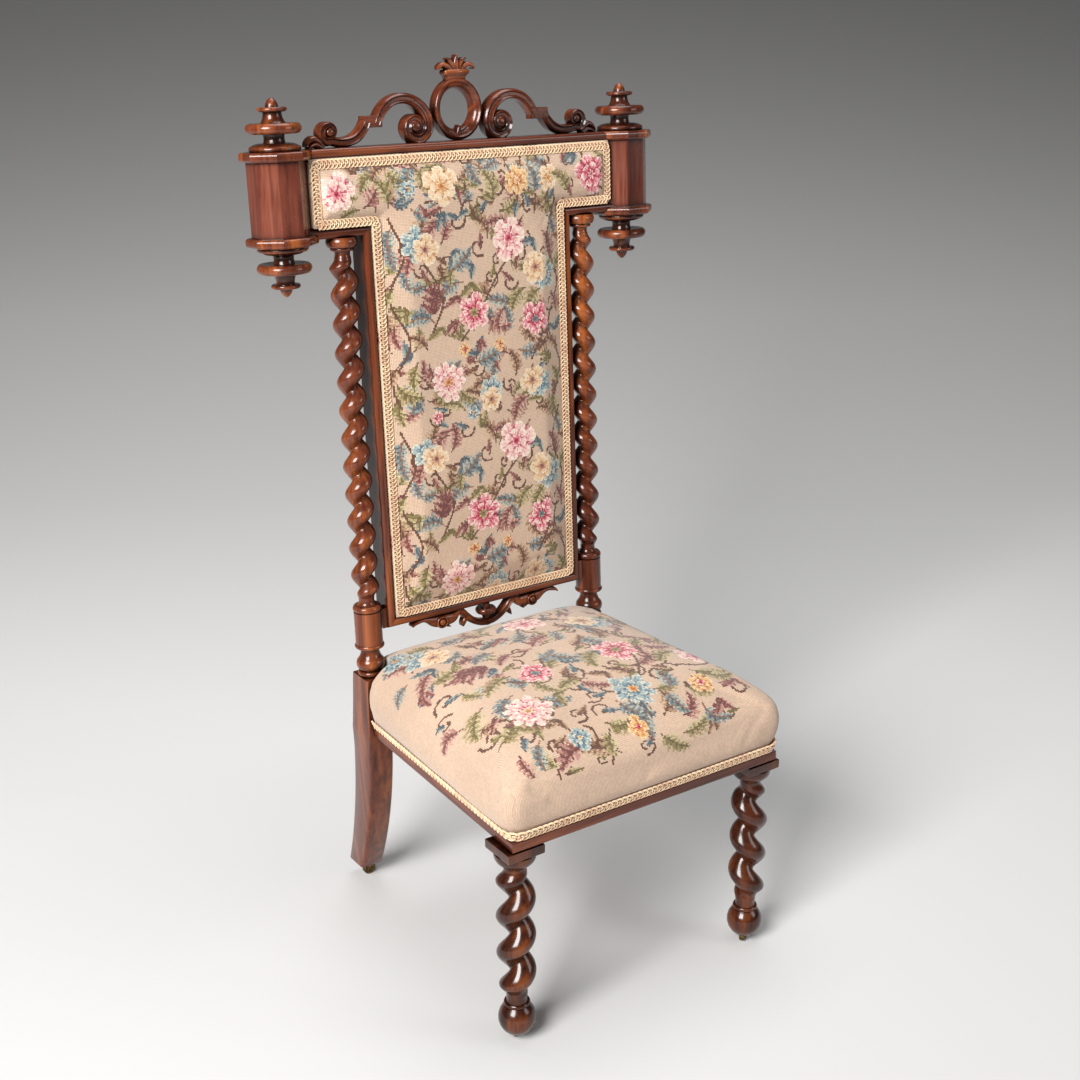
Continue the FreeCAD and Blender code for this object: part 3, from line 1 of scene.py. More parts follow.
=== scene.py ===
from math import asin, copysign, cos, hypot, pi, radians, sin, sqrt
import bpy
import bmesh
import numpy as np
from mathutils import Matrix, Vector


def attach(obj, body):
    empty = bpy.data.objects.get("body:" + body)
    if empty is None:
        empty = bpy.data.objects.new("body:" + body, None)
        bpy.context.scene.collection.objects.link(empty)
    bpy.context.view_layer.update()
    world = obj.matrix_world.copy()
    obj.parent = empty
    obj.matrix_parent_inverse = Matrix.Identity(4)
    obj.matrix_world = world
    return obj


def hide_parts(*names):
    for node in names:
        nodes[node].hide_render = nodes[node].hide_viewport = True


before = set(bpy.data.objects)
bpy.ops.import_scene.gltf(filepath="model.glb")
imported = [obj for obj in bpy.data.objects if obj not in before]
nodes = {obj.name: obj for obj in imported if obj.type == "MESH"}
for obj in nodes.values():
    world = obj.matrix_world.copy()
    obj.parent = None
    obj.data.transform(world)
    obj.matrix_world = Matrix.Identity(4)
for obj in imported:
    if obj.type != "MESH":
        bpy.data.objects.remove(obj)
scene = bpy.context.scene
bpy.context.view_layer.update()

# Sizes of the chair in millimetres, in the chair's own frame and in the leaning frame of its back
MM = 0.001
RAKE = radians(2.7)
SHOULDER = 345.0
BACK_DEPTH = 135.0
COLUMN = 173.3
FRAME_HALF = 150.0
FRAME_BOTTOM = 60.0
BAR_BOTTOM = 555.0
FRAME_TOP = 657.0
LIP = 11.0
TACKED = 12.0
BAR_END = 214.0
SEAT_FRONT = -228.7
SEAT_FRONT_HALF = 196.6
SEAT_TAPER = 12.6 / 343.7
LEG_FRONT = 115.0
STITCH = 1.8
LEG_X = 177.8
LEG_Y = -204.6
LEG_END = 24.0
LEG_KNEE = 272.0
LEG_SLANT = 264.5
LEG_SPLAY = 20.0
LEG_HALF = 17.5
LEG_TOE = 199.0
LEG_HEEL = 236.0
LEG_BACK_TOP = 155.0
LEG_FRONT_BOW = 681.0
LEG_BACK_BOW = -847.0


def lean(x, depth, height):
    """Point of the leaning back, in metres."""
    y = BACK_DEPTH + depth * cos(RAKE) + height * sin(RAKE)
    z = SHOULDER + height * cos(RAKE) - depth * sin(RAKE)
    return Vector((x, y, z)) * MM


def unlean(point):
    """Place across, depth and height in the leaning back of a point in metres."""
    y = point.y / MM - BACK_DEPTH
    z = point.z / MM - SHOULDER
    return point.x / MM, y * cos(RAKE) - z * sin(RAKE), y * sin(RAKE) + z * cos(RAKE)


# Materials

WHITE = (1, 1, 1)


def shader_node(tree, kind, **settings):
    item = tree.nodes.new(kind)
    for key, value in settings.items():
        setattr(item, key, value)
    return item


def put(item, **values):
    """Set or link inputs of a node by name, an underscore standing for a space."""
    for name, value in values.items():
        socket = item.inputs[name.replace("_", " ")]
        if isinstance(value, bpy.types.NodeSocket):
            item.id_data.links.new(value, socket)
        else:
            socket.default_value = value


def calculate(tree, operation, *values):
    item = shader_node(tree, "ShaderNodeMath", operation=operation)
    for socket, value in zip(item.inputs, values):
        if isinstance(value, float):
            socket.default_value = value
        else:
            tree.links.new(value, socket)
    return item.outputs[0]


def grey(value):
    return (value, value, value)


def new_material(name):
    material = bpy.data.materials.new(name)
    material.use_nodes = True
    return material, material.node_tree, material.node_tree.nodes["Principled BSDF"]


def colour_ramp(tree, source, stops):
    ramp = shader_node(tree, "ShaderNodeValToRGB")
    while len(ramp.color_ramp.elements) < len(stops):
        ramp.color_ramp.elements.new(0.5)
    for element, (place, colour) in zip(ramp.color_ramp.elements, stops):
        element.position = place
        element.color = (*colour, 1)
    put(ramp, Fac=source)
    return ramp.outputs["Color"]


def noise(tree, vector, scale, detail, distortion=0.0):
    item = shader_node(tree, "ShaderNodeTexNoise")
    put(item, Scale=scale, Detail=detail, Distortion=distortion, Vector=vector)
    return item.outputs["Fac"]


def stretched(tree, scale=(1, 1, 1)):
    """Object coordinates, stretched along the grain where a scale is small."""
    coordinates = shader_node(tree, "ShaderNodeTexCoord")
    mapping = shader_node(tree, "ShaderNodeMapping")
    put(mapping, Scale=scale, Vector=coordinates.outputs["Object"])
    return mapping.outputs["Vector"]


def darkened(tree, colour, shade, factor):
    """Colour multiplied by a shade, as far as the factor says."""
    mix = shader_node(tree, "ShaderNodeMix", data_type="RGBA", blend_type="MULTIPLY")
    sockets = {item.name: item for item in mix.inputs if item.enabled}
    sockets["Factor"].default_value = factor
    tree.links.new(colour, sockets["A"])
    tree.links.new(shade, sockets["B"])
    return [item for item in mix.outputs if item.enabled][0]


def bump(tree, shader, height, strength, distance):
    item = shader_node(tree, "ShaderNodeBump")
    put(item, Strength=strength, Distance=distance, Height=height)
    put(shader, Normal=item.outputs["Normal"])


def painted_shade_openness(tree, distance):
    """Fraction that is open around a point, low in recesses: it sets where shade is painted."""
    item = shader_node(tree, "ShaderNodeAmbientOcclusion", samples=8)
    put(item, Distance=distance)
    return item.outputs["AO"]


def wood(name, grain, dark, middle, light):
    """Polished rosewood-like timber: streaked figure, dark pores, painted shade in the recesses, a glossy
    coat.
    """
    material, tree, shader = new_material(name)
    along = stretched(tree, grain)
    figure = noise(tree, along, 26, 6, 1.5)
    body = colour_ramp(tree, figure, ((0.22, dark), (0.5, middle), (0.82, light)))
    pores = noise(tree, along, 210, 3)
    pore_shade = colour_ramp(tree, pores, ((0.36, (0.35, 0.3, 0.28)), (0.52, WHITE)))
    toned = darkened(tree, body, pore_shade, 0.55)
    # Painted shade: the colour is darkened where the wood is enclosed, in grooves and recesses.
    painted_recess_shade = colour_ramp(tree, painted_shade_openness(tree, 0.02), ((0.45, (0.06, 0.04, 0.035)), (0.96, WHITE)))
    toned = darkened(tree, toned, painted_recess_shade, 0.9)
    put(shader, Base_Color=toned)
    wear = noise(tree, stretched(tree), 34, 5)
    rough = colour_ramp(tree, wear, ((0.3, grey(0.16)), (0.7, grey(0.30))))
    put(shader, Roughness=rough, Specular_IOR_Level=0.3, Coat_Weight=0.3, Coat_Roughness=0.1)
    bump(tree, shader, pores, 0.12, 0.0004)
    return material


def brass(name):
    material, tree, shader = new_material(name)
    tarnish = noise(tree, stretched(tree), 240, 5)
    colour = colour_ramp(tree, tarnish, ((0.35, (0.035, 0.022, 0.014)), (0.68, (0.24, 0.16, 0.07))))
    put(shader, Base_Color=colour)
    rough = colour_ramp(tree, tarnish, ((0.3, grey(0.62)), (0.7, grey(0.34))))
    put(shader, Roughness=rough, Metallic=1.0)
    bump(tree, shader, tarnish, 0.15, 0.0003)
    return material


def cloth(name, light, dark, threads):
    """Plain weave: two crossed sets of threads over a soft mottle."""
    material, tree, shader = new_material(name)
    flat = stretched(tree)
    waves = []
    for direction in ("X", "Z"):
        wave = shader_node(tree, "ShaderNodeTexWave", bands_direction=direction)
        put(wave, Scale=threads, Distortion=0.4, Vector=flat)
        waves.append(wave.outputs["Fac"])
    weave = calculate(tree, "MULTIPLY", *waves)
    mottle = colour_ramp(tree, noise(tree, flat, 30, 5), ((0.3, dark), (0.7, light)))
    shade = colour_ramp(tree, weave, ((0.0, grey(0.7)), (0.8, WHITE)))
    put(shader, Base_Color=darkened(tree, mottle, shade, 1.0), Roughness=0.9, Sheen_Weight=0.3)
    bump(tree, shader, weave, 0.35, 0.0004)
    return material


def needlework(name):
    """Wool stitches on canvas: the colour of each stitch is on the mesh, its round form is in the bump and in
    painted shade between the stitches.
    """
    material, tree, shader = new_material(name)
    wool = shader_node(tree, "ShaderNodeAttribute", attribute_name="stitch")
    canvas = shader_node(tree, "ShaderNodeUVMap", uv_map="canvas")
    split = shader_node(tree, "ShaderNodeSeparateXYZ")
    put(split, Vector=canvas.outputs["UV"])
    rows = []
    for axis in ("X", "Y"):
        wave = calculate(tree, "SINE", calculate(tree, "MULTIPLY", split.outputs[axis], pi))
        rows.append(calculate(tree, "ABSOLUTE", wave))
    stitch = calculate(tree, "MULTIPLY", *rows)
    # Painted shade: each stitch is darkened towards its edges, in the gaps between stitches.
    painted_gap_shade = colour_ramp(tree, stitch, ((0.0, (0.50, 0.46, 0.42)), (0.5, WHITE)))
    toned = darkened(tree, wool.outputs["Color"], painted_gap_shade, 0.8)
    fading = noise(tree, stretched(tree), 9, 5)
    toned = darkened(tree, toned, colour_ramp(tree, fading, ((0.3, grey(0.9)), (0.7, grey(1.04)))), 1.0)
    put(shader, Base_Color=toned, Roughness=0.92, Sheen_Weight=0.25)
    bump(tree, shader, stitch, 0.5, 0.0006)
    return material


def braid(name):
    material, tree, shader = new_material(name)
    flat = stretched(tree)
    fibre = noise(tree, flat, 900, 3)
    tone = colour_ramp(tree, noise(tree, flat, 60, 4), ((0.3, (0.66, 0.40, 0.24)), (0.6, (0.84, 0.61, 0.38))))
    # Painted shade: the colour is darkened in the gaps between the cords.
    painted_recess_shade = colour_ramp(tree, painted_shade_openness(tree, 0.003), ((0.25, (0.26, 0.14, 0.07)), (0.8, WHITE)))
    put(shader, Base_Color=darkened(tree, tone, painted_recess_shade, 0.9), Roughness=0.7, Sheen_Weight=0.4)
    bump(tree, shader, fibre, 0.3, 0.0003)
    return material


# Grain directions, and the dark, middle and light colour of each timber
ALONG_X = (0.07, 1, 1)
ALONG_Y = (1, 0.07, 1)
ALONG_Z = (1, 1, 0.07)
ROSEWOOD = ((0.008, 0.0019, 0.001), (0.125, 0.028, 0.0115), (0.46, 0.130, 0.027))
LEG_WOOD = ((0.007, 0.0019, 0.0012), (0.062, 0.015, 0.0058), (0.21, 0.058, 0.014))
# Block wood: its own timber tone, with a purplish cast added as painted sheen of the key light's reflection
# on its polish.
BLOCK_WOOD_AND_SHEEN = ((0.016, 0.0035, 0.0025), (0.135, 0.033, 0.019), (0.33, 0.105, 0.062))
BARE_WOOD = ((0.2, 0.12, 0.06), (0.3, 0.19, 0.1), (0.4, 0.27, 0.15))
wood_up = wood("wood_upright_grain", ALONG_Z, *ROSEWOOD)
wood_across = wood("wood_cross_grain", ALONG_X, *ROSEWOOD)
wood_deep = wood("wood_depth_grain", ALONG_Y, *ROSEWOOD)
wood_leg = wood("wood_leg_grain", ALONG_Z, *LEG_WOOD)
block_wood_and_sheen = wood("block_timber_and_painted_sheen", ALONG_Z, *BLOCK_WOOD_AND_SHEEN)
plain_wood = wood("wood_glue_block", ALONG_Z, *BARE_WOOD)
brass_old = brass("brass_tarnished")
jute = cloth("cloth_webbing", (0.42, 0.31, 0.18), (0.3, 0.21, 0.12), 160)
sacking = cloth("cloth_hessian", (0.40, 0.28, 0.15), (0.28, 0.19, 0.10), 260)
lining_cloth = cloth("cloth_lining", (0.10, 0.055, 0.032), (0.06, 0.032, 0.02), 420)
wool_canvas = needlework("wool_on_canvas")
gold_braid = braid("braid_gold")


def dress(node, material):
    """Give a shown CAD node its finish."""
    mesh = nodes[node].data
    mesh.materials.clear()
    mesh.materials.append(material)


def finish_piece(piece, material, *stands_for):
    """Give a made piece its finish and let it ride on the chair, in place of CAD nodes."""
    piece.data.materials.clear()
    piece.data.materials.append(material)
    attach(piece, "chair")
    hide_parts(*stands_for)


# Mesh building

class Shape:
    """Points and faces of a piece in the making."""

    def __init__(self):
        self.points = []
        self.faces = []
        self.index = {}

    def corner(self, place, *key):
        """Number of the point with a key, placed the first time that it is asked for."""
        if key not in self.index:
            self.index[key] = len(self.points)
            self.points.append(place(*key))
        return self.index[key]

    def skin(self, rings):
        """Skin closed rings of equal count, and cap both ends."""
        count = len(rings[0])
        start = len(self.points)
        for ring in rings:
            self.points.extend(ring)
        for level in range(len(rings) - 1):
            low = start + level * count
            for number in range(count):
                after = (number + 1) % count
                self.faces.append((low + number, low + after, low + count + after, low + count + number))
        self.faces.append(tuple(range(start + count - 1, start - 1, -1)))
        last = start + (len(rings) - 1) * count
        self.faces.append(tuple(range(last, last + count)))

    def piece(self, name, smooth_angle=35):
        mesh = bpy.data.meshes.new(name)
        mesh.from_pydata([tuple(point) for point in self.points], [], self.faces)
        cleaner = bmesh.new()
        cleaner.from_mesh(mesh)
        bmesh.ops.remove_doubles(cleaner, verts=cleaner.verts, dist=1e-6)
        bmesh.ops.recalc_face_normals(cleaner, faces=cleaner.faces)
        cleaner.to_mesh(mesh)
        cleaner.free()
        mesh.shade_smooth()
        mesh.set_sharp_from_angle(angle=radians(smooth_angle))
        piece = bpy.data.objects.new(name, mesh)
        scene.collection.objects.link(piece)
        return piece


def soft_ring(corners, radius, parts, height):
    """Level outline through four rounded corners, in order from the right front one."""
    ring = []
    for number, (x, y) in enumerate(corners):
        x_sign, y_sign = ((1, -1), (1, 1), (-1, 1), (-1, -1))[number]
        for part in range(parts + 1):
            angle = radians(90 * (number - 1) + 90 / parts * part)
            ring.append(Vector((x - x_sign * radius + radius * cos(angle),
                                y - y_sign * radius + radius * sin(angle), height)) * MM)
    return ring


def bowed(start, finish, radius, steps=7):
    """Points of an arc after its start: a positive radius bows to the right of travel."""
    start = Vector(start)
    finish = Vector(finish)
    chord = finish - start
    half = chord.length / 2
    right = Vector((chord.y, -chord.x)).normalized() * copysign(1, radius)
    sagitta = abs(radius) - sqrt(max(radius * radius - half * half, 0))
    centre = (start + finish) / 2 - right * (abs(radius) - sagitta)
    first = start - centre
    angle = 2 * asin(min(half / abs(radius), 1)) * copysign(1, radius)
    out = []
    for step in range(1, steps + 1):
        turn = Matrix.Rotation(angle * step / steps, 2)
        out.append(centre + turn @ first)
    return out


def profile(corners, bows):
    """Turned outline of radius and height, with its arcs drawn out."""
    points = [Vector(corners[0])]
    for number, finish in enumerate(corners[1:]):
        if number in bows:
            points.extend(bowed(corners[number], finish, bows[number]))
        else:
            points.append(Vector(finish))
    return points


def circle(sides=48):
    """Angles of even steps round a circle."""
    return [2 * pi * number / sides for number in range(sides)]


def lathe_rings(corners, bows, place):
    rings = []
    for radius, height in profile(corners, bows):
        rings.append([place(radius * cos(angle), radius * sin(angle), height) for angle in circle()])
    return rings


def twist_rings(place, hand, bottom, top, turns, wide, narrow, end, run_out, steps=30):
    """Barley twist: one round strand winding up, with a narrow deep groove and a plain neck at each end."""
    length = top - bottom
    top_angle = radians(262 if hand > 0 else -82)
    count = round(turns * steps)
    rings = []
    for step in range(count + 1):
        share = step / count
        height = length * share
        ease = min(1, height / run_out, (length - height) / run_out)
        ease = ease * ease * (3 - 2 * ease)
        phase = top_angle - hand * 2 * pi * turns * (1 - share)
        ring = []
        for angle in circle():
            swell = (0.5 + 0.5 * cos(angle - phase)) ** 0.6
            reach = narrow + (wide - narrow) * swell
            radius = end + (reach - end) * ease
            ring.append(place(radius * cos(angle), radius * sin(angle), bottom + height))
        rings.append(ring)
    return rings


# Turned uprights and front legs

def arc_depth(start, finish, radius, height):
    """Depth of a leg edge at a height, along an arc that bows to the front."""
    outline = [Vector(start)] + bowed(start, finish, radius, 40)
    for first, second in zip(outline, outline[1:]):
        if min(first.y, second.y) - 1e-6 <= height <= max(first.y, second.y) + 1e-6:
            share = (height - first.y) / (second.y - first.y) if second.y != first.y else 0
            return first.x + (second.x - first.x) * share
    return outline[-1].x


LEG_STEPS = 60


def leg_rings(side):
    """Sabre leg: soft-edged rectangles that sweep back and inwards towards the floor."""
    rings = []
    for step in range(LEG_STEPS + 1):
        height = LEG_END + (SHOULDER - LEG_END) * step / LEG_STEPS
        front = LEG_FRONT
        if height <= LEG_KNEE:
            front = arc_depth((LEG_FRONT, LEG_KNEE), (LEG_TOE, LEG_END), LEG_FRONT_BOW, height)
        rear = arc_depth((LEG_HEEL, LEG_END), (LEG_BACK_TOP, SHOULDER), LEG_BACK_BOW, height)
        slant = max(0, (LEG_SLANT - height) / (LEG_SLANT - LEG_END))
        middle = side * (COLUMN - LEG_SPLAY * slant)
        left = middle - LEG_HALF + slant
        right = middle + LEG_HALF - slant
        below_seat = min(1, max(0, (262 - height) / 30))
        at_shoulder = min(1, max(0, (height - 335) / 10))
        soft = 1.2 + 2.6 * below_seat + 1.5 * at_shoulder
        rings.append(soft_ring(((right, front), (right, rear), (left, rear), (left, front)), soft, 3, height))
    return rings


FOOT_CORNERS = [(0.5, 0), (15.5, 0), (15.5, 7), (13.5, 7), (15.0, 24), (11.8, 38), (18.2, 38), (18.2, 42.5),
                (17.6, 42.5), (17.6, 86), (16.0, 86), (16.0, 95), (12.5, 95), (10.0, 103), (0.5, 103)]
FOOT_BOWS = {1: 4.2, 3: 10.5, 4: -22.4, 6: 3.15, 10: 5.4, 12: -9.6}
CAPITAL_CORNERS = [(0.5, 531), (10.0, 531), (10.0, 539), (13.2, 539), (13.2, 543.5), (17.0, 543.5),
                   (17.0, 555), (0.5, 555)]
CAPITAL_BOWS = {1: -9.6, 3: 2.7, 5: 9.2}
COLUMN_TWIST = {"bottom": 103, "top": 531, "turns": 12.2, "wide": 17.4, "narrow": 7.0, "end": 10.0,
                "run_out": 15}


def upright(name, side):
    def place(x, depth, height):
        return lean(side * COLUMN + x, depth, height)

    shape = Shape()
    shape.skin(leg_rings(side))
    shape.skin(lathe_rings(FOOT_CORNERS, FOOT_BOWS, place))
    shape.skin(twist_rings(place, -side, **COLUMN_TWIST))
    shape.skin(lathe_rings(CAPITAL_CORNERS, CAPITAL_BOWS, place))
    finish_piece(shape.piece(f"{name}_upright_turned"), wood_up, f"{name}_back_upright")


LEG_FOOT_CORNERS = [(0.5, 38.1), (5.6, 38.1), (5.6, 24), (14, 24), (14, 12.13), (14, 47.87), (14.5, 47.87),
                    (14.5, 52.87), (13, 52.87), (13, 61.87), (0.5, 61.87)]
LEG_FOOT_BOWS = {4: 22.7, 6: 3, 8: -18}
LEG_CUP_CORNERS = [(0.5, 232), (13, 232), (16.5, 237.1), (25, 249.4), (25, 252.5), (0.5, 252.5)]
LEG_CUP_BOWS = {1: -10.2, 2: 15.4}
LEG_TWIST = {"bottom": 61.87, "top": 232, "turns": 3.5, "wide": 23.4, "narrow": 7.4, "end": 13, "run_out": 20}
LEG_PLATE = ((252.5, 22.9), (253.2, 24.0), (255, 24.5), (264.3, 24.5))


def front_leg(name, side):
    def place(x, y, height):
        return Vector((side * LEG_X + x, LEG_Y + y, height)) * MM

    shape = Shape()
    shape.skin(lathe_rings(LEG_FOOT_CORNERS, LEG_FOOT_BOWS, place))
    shape.skin(twist_rings(place, -side, **LEG_TWIST))
    shape.skin(lathe_rings(LEG_CUP_CORNERS, LEG_CUP_BOWS, place))
    square = ((-1, -1), (1, -1), (1, 1), (-1, 1))
    shape.skin([[place(x * half, y * half, height) for x, y in square] for height, half in LEG_PLATE])
    finish_piece(shape.piece(f"{name}_front_leg_turned"), wood_leg, f"front_{name}_leg")


for side_name, side_sign in (("left", -1), ("right", 1)):
    upright(side_name, side_sign)
    front_leg(side_name, side_sign)


# Carved crest and apron

def smooth_line(knots, steps=8):
    """Points and half widths along a smooth curve through knots of place across, height and half width."""
    rows = [Vector(knot) for knot in knots]
    rows = [2 * rows[0] - rows[1]] + rows + [2 * rows[-1] - rows[-2]]
    line = []
    for before, first, second, after in zip(rows, rows[1:], rows[2:], rows[3:]):
        for step in range(steps):
            t = step / steps
            pull = (second - before) * t + (2 * before - 5 * first + 4 * second - after) * t * t
            line.append(first + 0.5 * (pull + (3 * first - before - 3 * second + after) * t ** 3))
    line.append(rows[-2])
    return line


CHANNELLED = ((-1, 1), (-1, 0.34), (-0.9, 0.12), (-0.6, 0), (-0.25, 0.14), (0.25, 0.14), (0.6, 0),
              (0.9, 0.12), (1, 0.34), (1, 1))
SQUARE = ((-1, 1), (-1, 0.06), (-0.9, 0), (0.9, 0), (1, 0.06), (1, 1))
ROUNDED = ((-1, 1), (-1, 0.42), (-0.82, 0.16), (-0.45, 0.03), (0, 0), (0.45, 0.03), (0.82, 0.16), (1, 0.42),
           (1, 1))
EYE = ((6.0, 1.0), (1.6, 1.0), (0.5, 0.82), (0.0, 0.45), (-0.2, 0.08))
RING_SECTION = ((1.0, 18), (1.0, 6.2), (0.985, 4.2), (0.95, 3.0), (0.90, 2.6), (0.865, 3.6), (0.845, 4.4),
                (0.80, 5.0), (0.74, 7.0), (0.69, 9.6), (0.655, 12.5), (0.635, 15.5), (0.63, 18))
OVAL_HALF = 33.5
OVAL_RISE = 36.6
COLLAR = ((64, 15.5, 0.0), (69, 12.8, 1.6), (72.5, 12.6, 1.8), (75.5, 14.2, 0.8), (77, 16.4, -0.4),
          (79.5, 17.2, -0.8), (81.6, 16.6, -0.4), (83, 14.5, 0.8))


def spiral(centre_x, centre_z, start, turn, radius, end_radius, width, end_width, count):
    """Knots of a volute that winds in towards its eye."""
    knots = []
    for number in range(count + 1):
        share = number / count
        angle = radians(start + turn * share)
        reach = radius + (end_radius - radius) * share ** 0.8
        knots.append((centre_x + reach * cos(angle), centre_z + reach * sin(angle),
                      width + (end_width - width) * share))
    return knots


class Carving(Shape):
    """Carved bands and buttons on a rail of the back, their heights counted from the rail."""

    def __init__(self, base):
        super().__init__()
        self.base = base

    def scroll(self, knots, front, rear, section, side=1, steps=8):
        """Carved band of changing width along a curve, moulded on its front."""
        line = smooth_line(knots, steps)
        rings = []
        for number, row in enumerate(line):
            ahead = line[min(number + 1, len(line) - 1)] - line[max(number - 1, 0)]
            across = Vector((ahead.y, -ahead.x)).normalized()
            ring = []
            for share, depth in section:
                x = row.x + across.x * row.z * share
                height = row.y + across.y * row.z * share
                ring.append(lean(side * x, front + (rear - front) * depth, self.base + height))
            rings.append(ring)
        self.skin(rings)

    def leaves(self, rows, side=1):
        """Rounded bands, each given by its knots, front and rear."""
        for knots, front, rear in rows:
            self.scroll(knots, front, rear, ROUNDED, side)

    def eye(self, x, height, radius, front, side):
        """Round button in the middle of a volute."""
        rings = []
        for rise, share in EYE:
            ring = []
            for angle in circle(20):
                ring.append(lean(side * (x + radius * share * cos(angle)), front + rise,
                                 self.base + height + radius * share * sin(angle)))
            rings.append(ring)
        self.skin(rings)

    def oval(self, sides=72):
        """Moulded ring in the middle of the crest: a rounded rim that falls into a hollow."""
        start = len(self.points)
        for angle in circle(sides):
            for share, depth in RING_SECTION:
                height = self.base + OVAL_RISE + OVAL_RISE * share * sin(angle)
                self.points.append(lean(OVAL_HALF * share * cos(angle), depth, height))
        count = len(RING_SECTION)
        for number in range(sides):
            here = start + number * count
            after = start + (number + 1) % sides * count
            for row in range(count):
                following = (row + 1) % count
                self.faces.append((here + row, here + following, after + following, after + row))

    def collar(self):
        """Waisted block between the oval and the leaves on top of it."""
        rings = []
        for height, half, forward in COLLAR:
            edge = 4.5 + forward
            face = 2.5 + forward
            outline = ((-half, 17.5), (-half, edge), (2.5 - half, face),
                       (half - 2.5, face), (half, edge), (half, 17.5))
            rings.append([lean(x, depth, self.base + height) for x, depth in outline])
        self.skin(rings)


CREST_FRONT = 2.2
CREST_REAR = 18
BRIDGE_FRONT = 3.4
EYE_FRONT = 1.2
VOLUTE_MIDDLE = (60.5, 18.5)
CURL_MIDDLE = (176, 17.5)
ARCH = [(113.5, 24, 5.4), (110.5, 30, 5.6), (103.5, 40, 6.0), (92.5, 48.5, 6.2), (79, 51.8, 6.4),
        (64.5, 49.5, 6.8), (52, 41, 7.4), (44.5, 29, 7.6)]
BRIDGE = [(107, 27, 6.8), (116, 27, 6.8), (124, 27, 6.8), (131, 27, 6.8)]
SWEEP = [(126.5, 27, 5.4), (130.5, 19.5, 5.8), (139, 11, 6.0), (150, 6.2, 5.8), (163, 5.6, 5.6),
         (174, 7.6, 5.4)]
MIDDLE_LEAVES = (
    (((0, 81, 3.6), (0, 88, 4.4), (0, 94, 3.6), (0, 100, 0.8)), 3.0, 13),
    (((0, 1, 4.0), (0, 7, 4.4), (0, 13, 3.2), (0, 18, 0.8)), 3.5, 14))
SIDE_LEAVES = (
    (((184, 1, 3.4), (190, 8, 4.4), (197, 10.5, 4.0), (203, 7, 2.8), (206, 2, 1.0)), 4, 17),
    (((186, 0, 3.0), (193, 3.6, 3.2), (200, 2.6, 2.4), (205, -1, 1.0)), 2.6, 14),
    (((3, 81, 3.4), (5.5, 88, 3.8), (9.5, 93.5, 3.0), (14, 95.5, 0.8)), 3.8, 13.5),
    (((6, 81, 3.4), (12, 86.5, 3.6), (18, 88.5, 3.2), (23.5, 86, 2.2), (24.5, 82.5, 0.8)), 3.2, 14),
    (((3, 2, 3.0), (8, 8, 3.4), (14, 10, 2.4), (17, 7, 0.8)), 4.2, 14))


def crest():
    """Pierced crest: an oval ring with a leafy top between two C-scrolls, S-scrolls and ears."""
    carving = Carving(FRAME_TOP)
    carving.oval()
    carving.collar()
    carving.leaves(MIDDLE_LEAVES)
    for side in (-1, 1):
        volute = spiral(*VOLUTE_MIDDLE, 186, 450, 17.0, 5.4, 7.6, 4.0, 16)
        carving.scroll(ARCH + volute, CREST_FRONT, CREST_REAR, CHANNELLED, side, 6)
        carving.eye(*VOLUTE_MIDDLE, 6.2, EYE_FRONT, side)
        carving.scroll(BRIDGE, BRIDGE_FRONT, CREST_REAR, SQUARE, side, 4)
        curl = spiral(*CURL_MIDDLE, -62, 330, 11.6, 5.0, 5.2, 2.6, 11)
        carving.scroll(SWEEP + curl, CREST_FRONT, CREST_REAR, CHANNELLED, side, 6)
        carving.eye(*CURL_MIDDLE, 4.8, EYE_FRONT, side)
        carving.leaves(SIDE_LEAVES, side)
    finish_piece(carving.piece("crest_carved", 42), wood_across, "crest")


BOSS_MIDDLE = (71, -10.5)
RISER = ((46, -1, 4.6), (38, -5, 5.0), (31, -12.5, 5.0), (22, -20, 4.6), (11, -25.5, 4.4), (-2, -28, 4.0))
WING_LEAVES = (
    (((30, -12, 3.6), (34, -17, 3.8), (36.5, -21.5, 3.0), (38, -25, 1.0)), -9.5, 0.5),
    (((44, -2, 3.2), (52, -9, 7.0), (61, -10, 8.6), (71, -10, 8.8), (81, -8.2, 7.6), (90, -4.5, 4.6),
      (98, -2.6, 3.2), (106, -3.6, 3.2), (112, -6.0, 2.2), (114, -8.4, 0.8)), -11, 1),
    (((66, -14, 3.0), (61.5, -17.5, 2.8), (57, -20.5, 0.7)), -9.5, 0.5))


def apron():
    """Pierced brackets under the back: S-scrolls from the middle, and a bossed wing to each side."""
    carving = Carving(FRAME_BOTTOM)
    for side in (-1, 1):
        carving.scroll(RISER, -11, 1, CHANNELLED, side)
        carving.leaves(WING_LEAVES, side)
        carving.eye(*BOSS_MIDDLE, 4.4, -14.5, side)
        carving.scroll(spiral(*BOSS_MIDDLE, 0, 362, 7.0, 7.0, 1.3, 1.3, 20), -13.2, -9.0, ROUNDED, side, 2)
    finish_piece(carving.piece("apron_carved", 42), wood_across, "apron")


crest()
apron()


# Finish of the pieces that stay as built

FINISHES = (
    (brass_old, ("castor",)),
    (block_wood_and_sheen, ("octagon",)),
    (wood_up, ("stile", "cap", "finial", "pendant", "spacer", "bobbin")),
    (wood_across, ("top_rail", "bottom_rail", "arm_rail", "crest", "apron", "front_seat_rail",
                   "back_seat_rail")),
    (wood_deep, ("left_seat_rail", "right_seat_rail")),
    (plain_wood, ("seat_corner_blocks",)),
    (jute, ("webbing",)),
    (sacking, ("hessian",)))
for node_name in nodes:
    for finish, words in FINISHES:
        if any(word in node_name for word in words):
            dress(node_name, finish)
            break


# Needlework design, in millimetres of canvas

def wools(*codes):
    """Linear colours of a family of wools, dark to pale, from their six-figure codes."""
    family = []
    for code in codes:
        parts = [int(code[number:number + 2], 16) / 255 for number in (0, 2, 4)]
        family.append(tuple(((part + 0.055) / 1.055) ** 2.4 for part in parts))
    return family


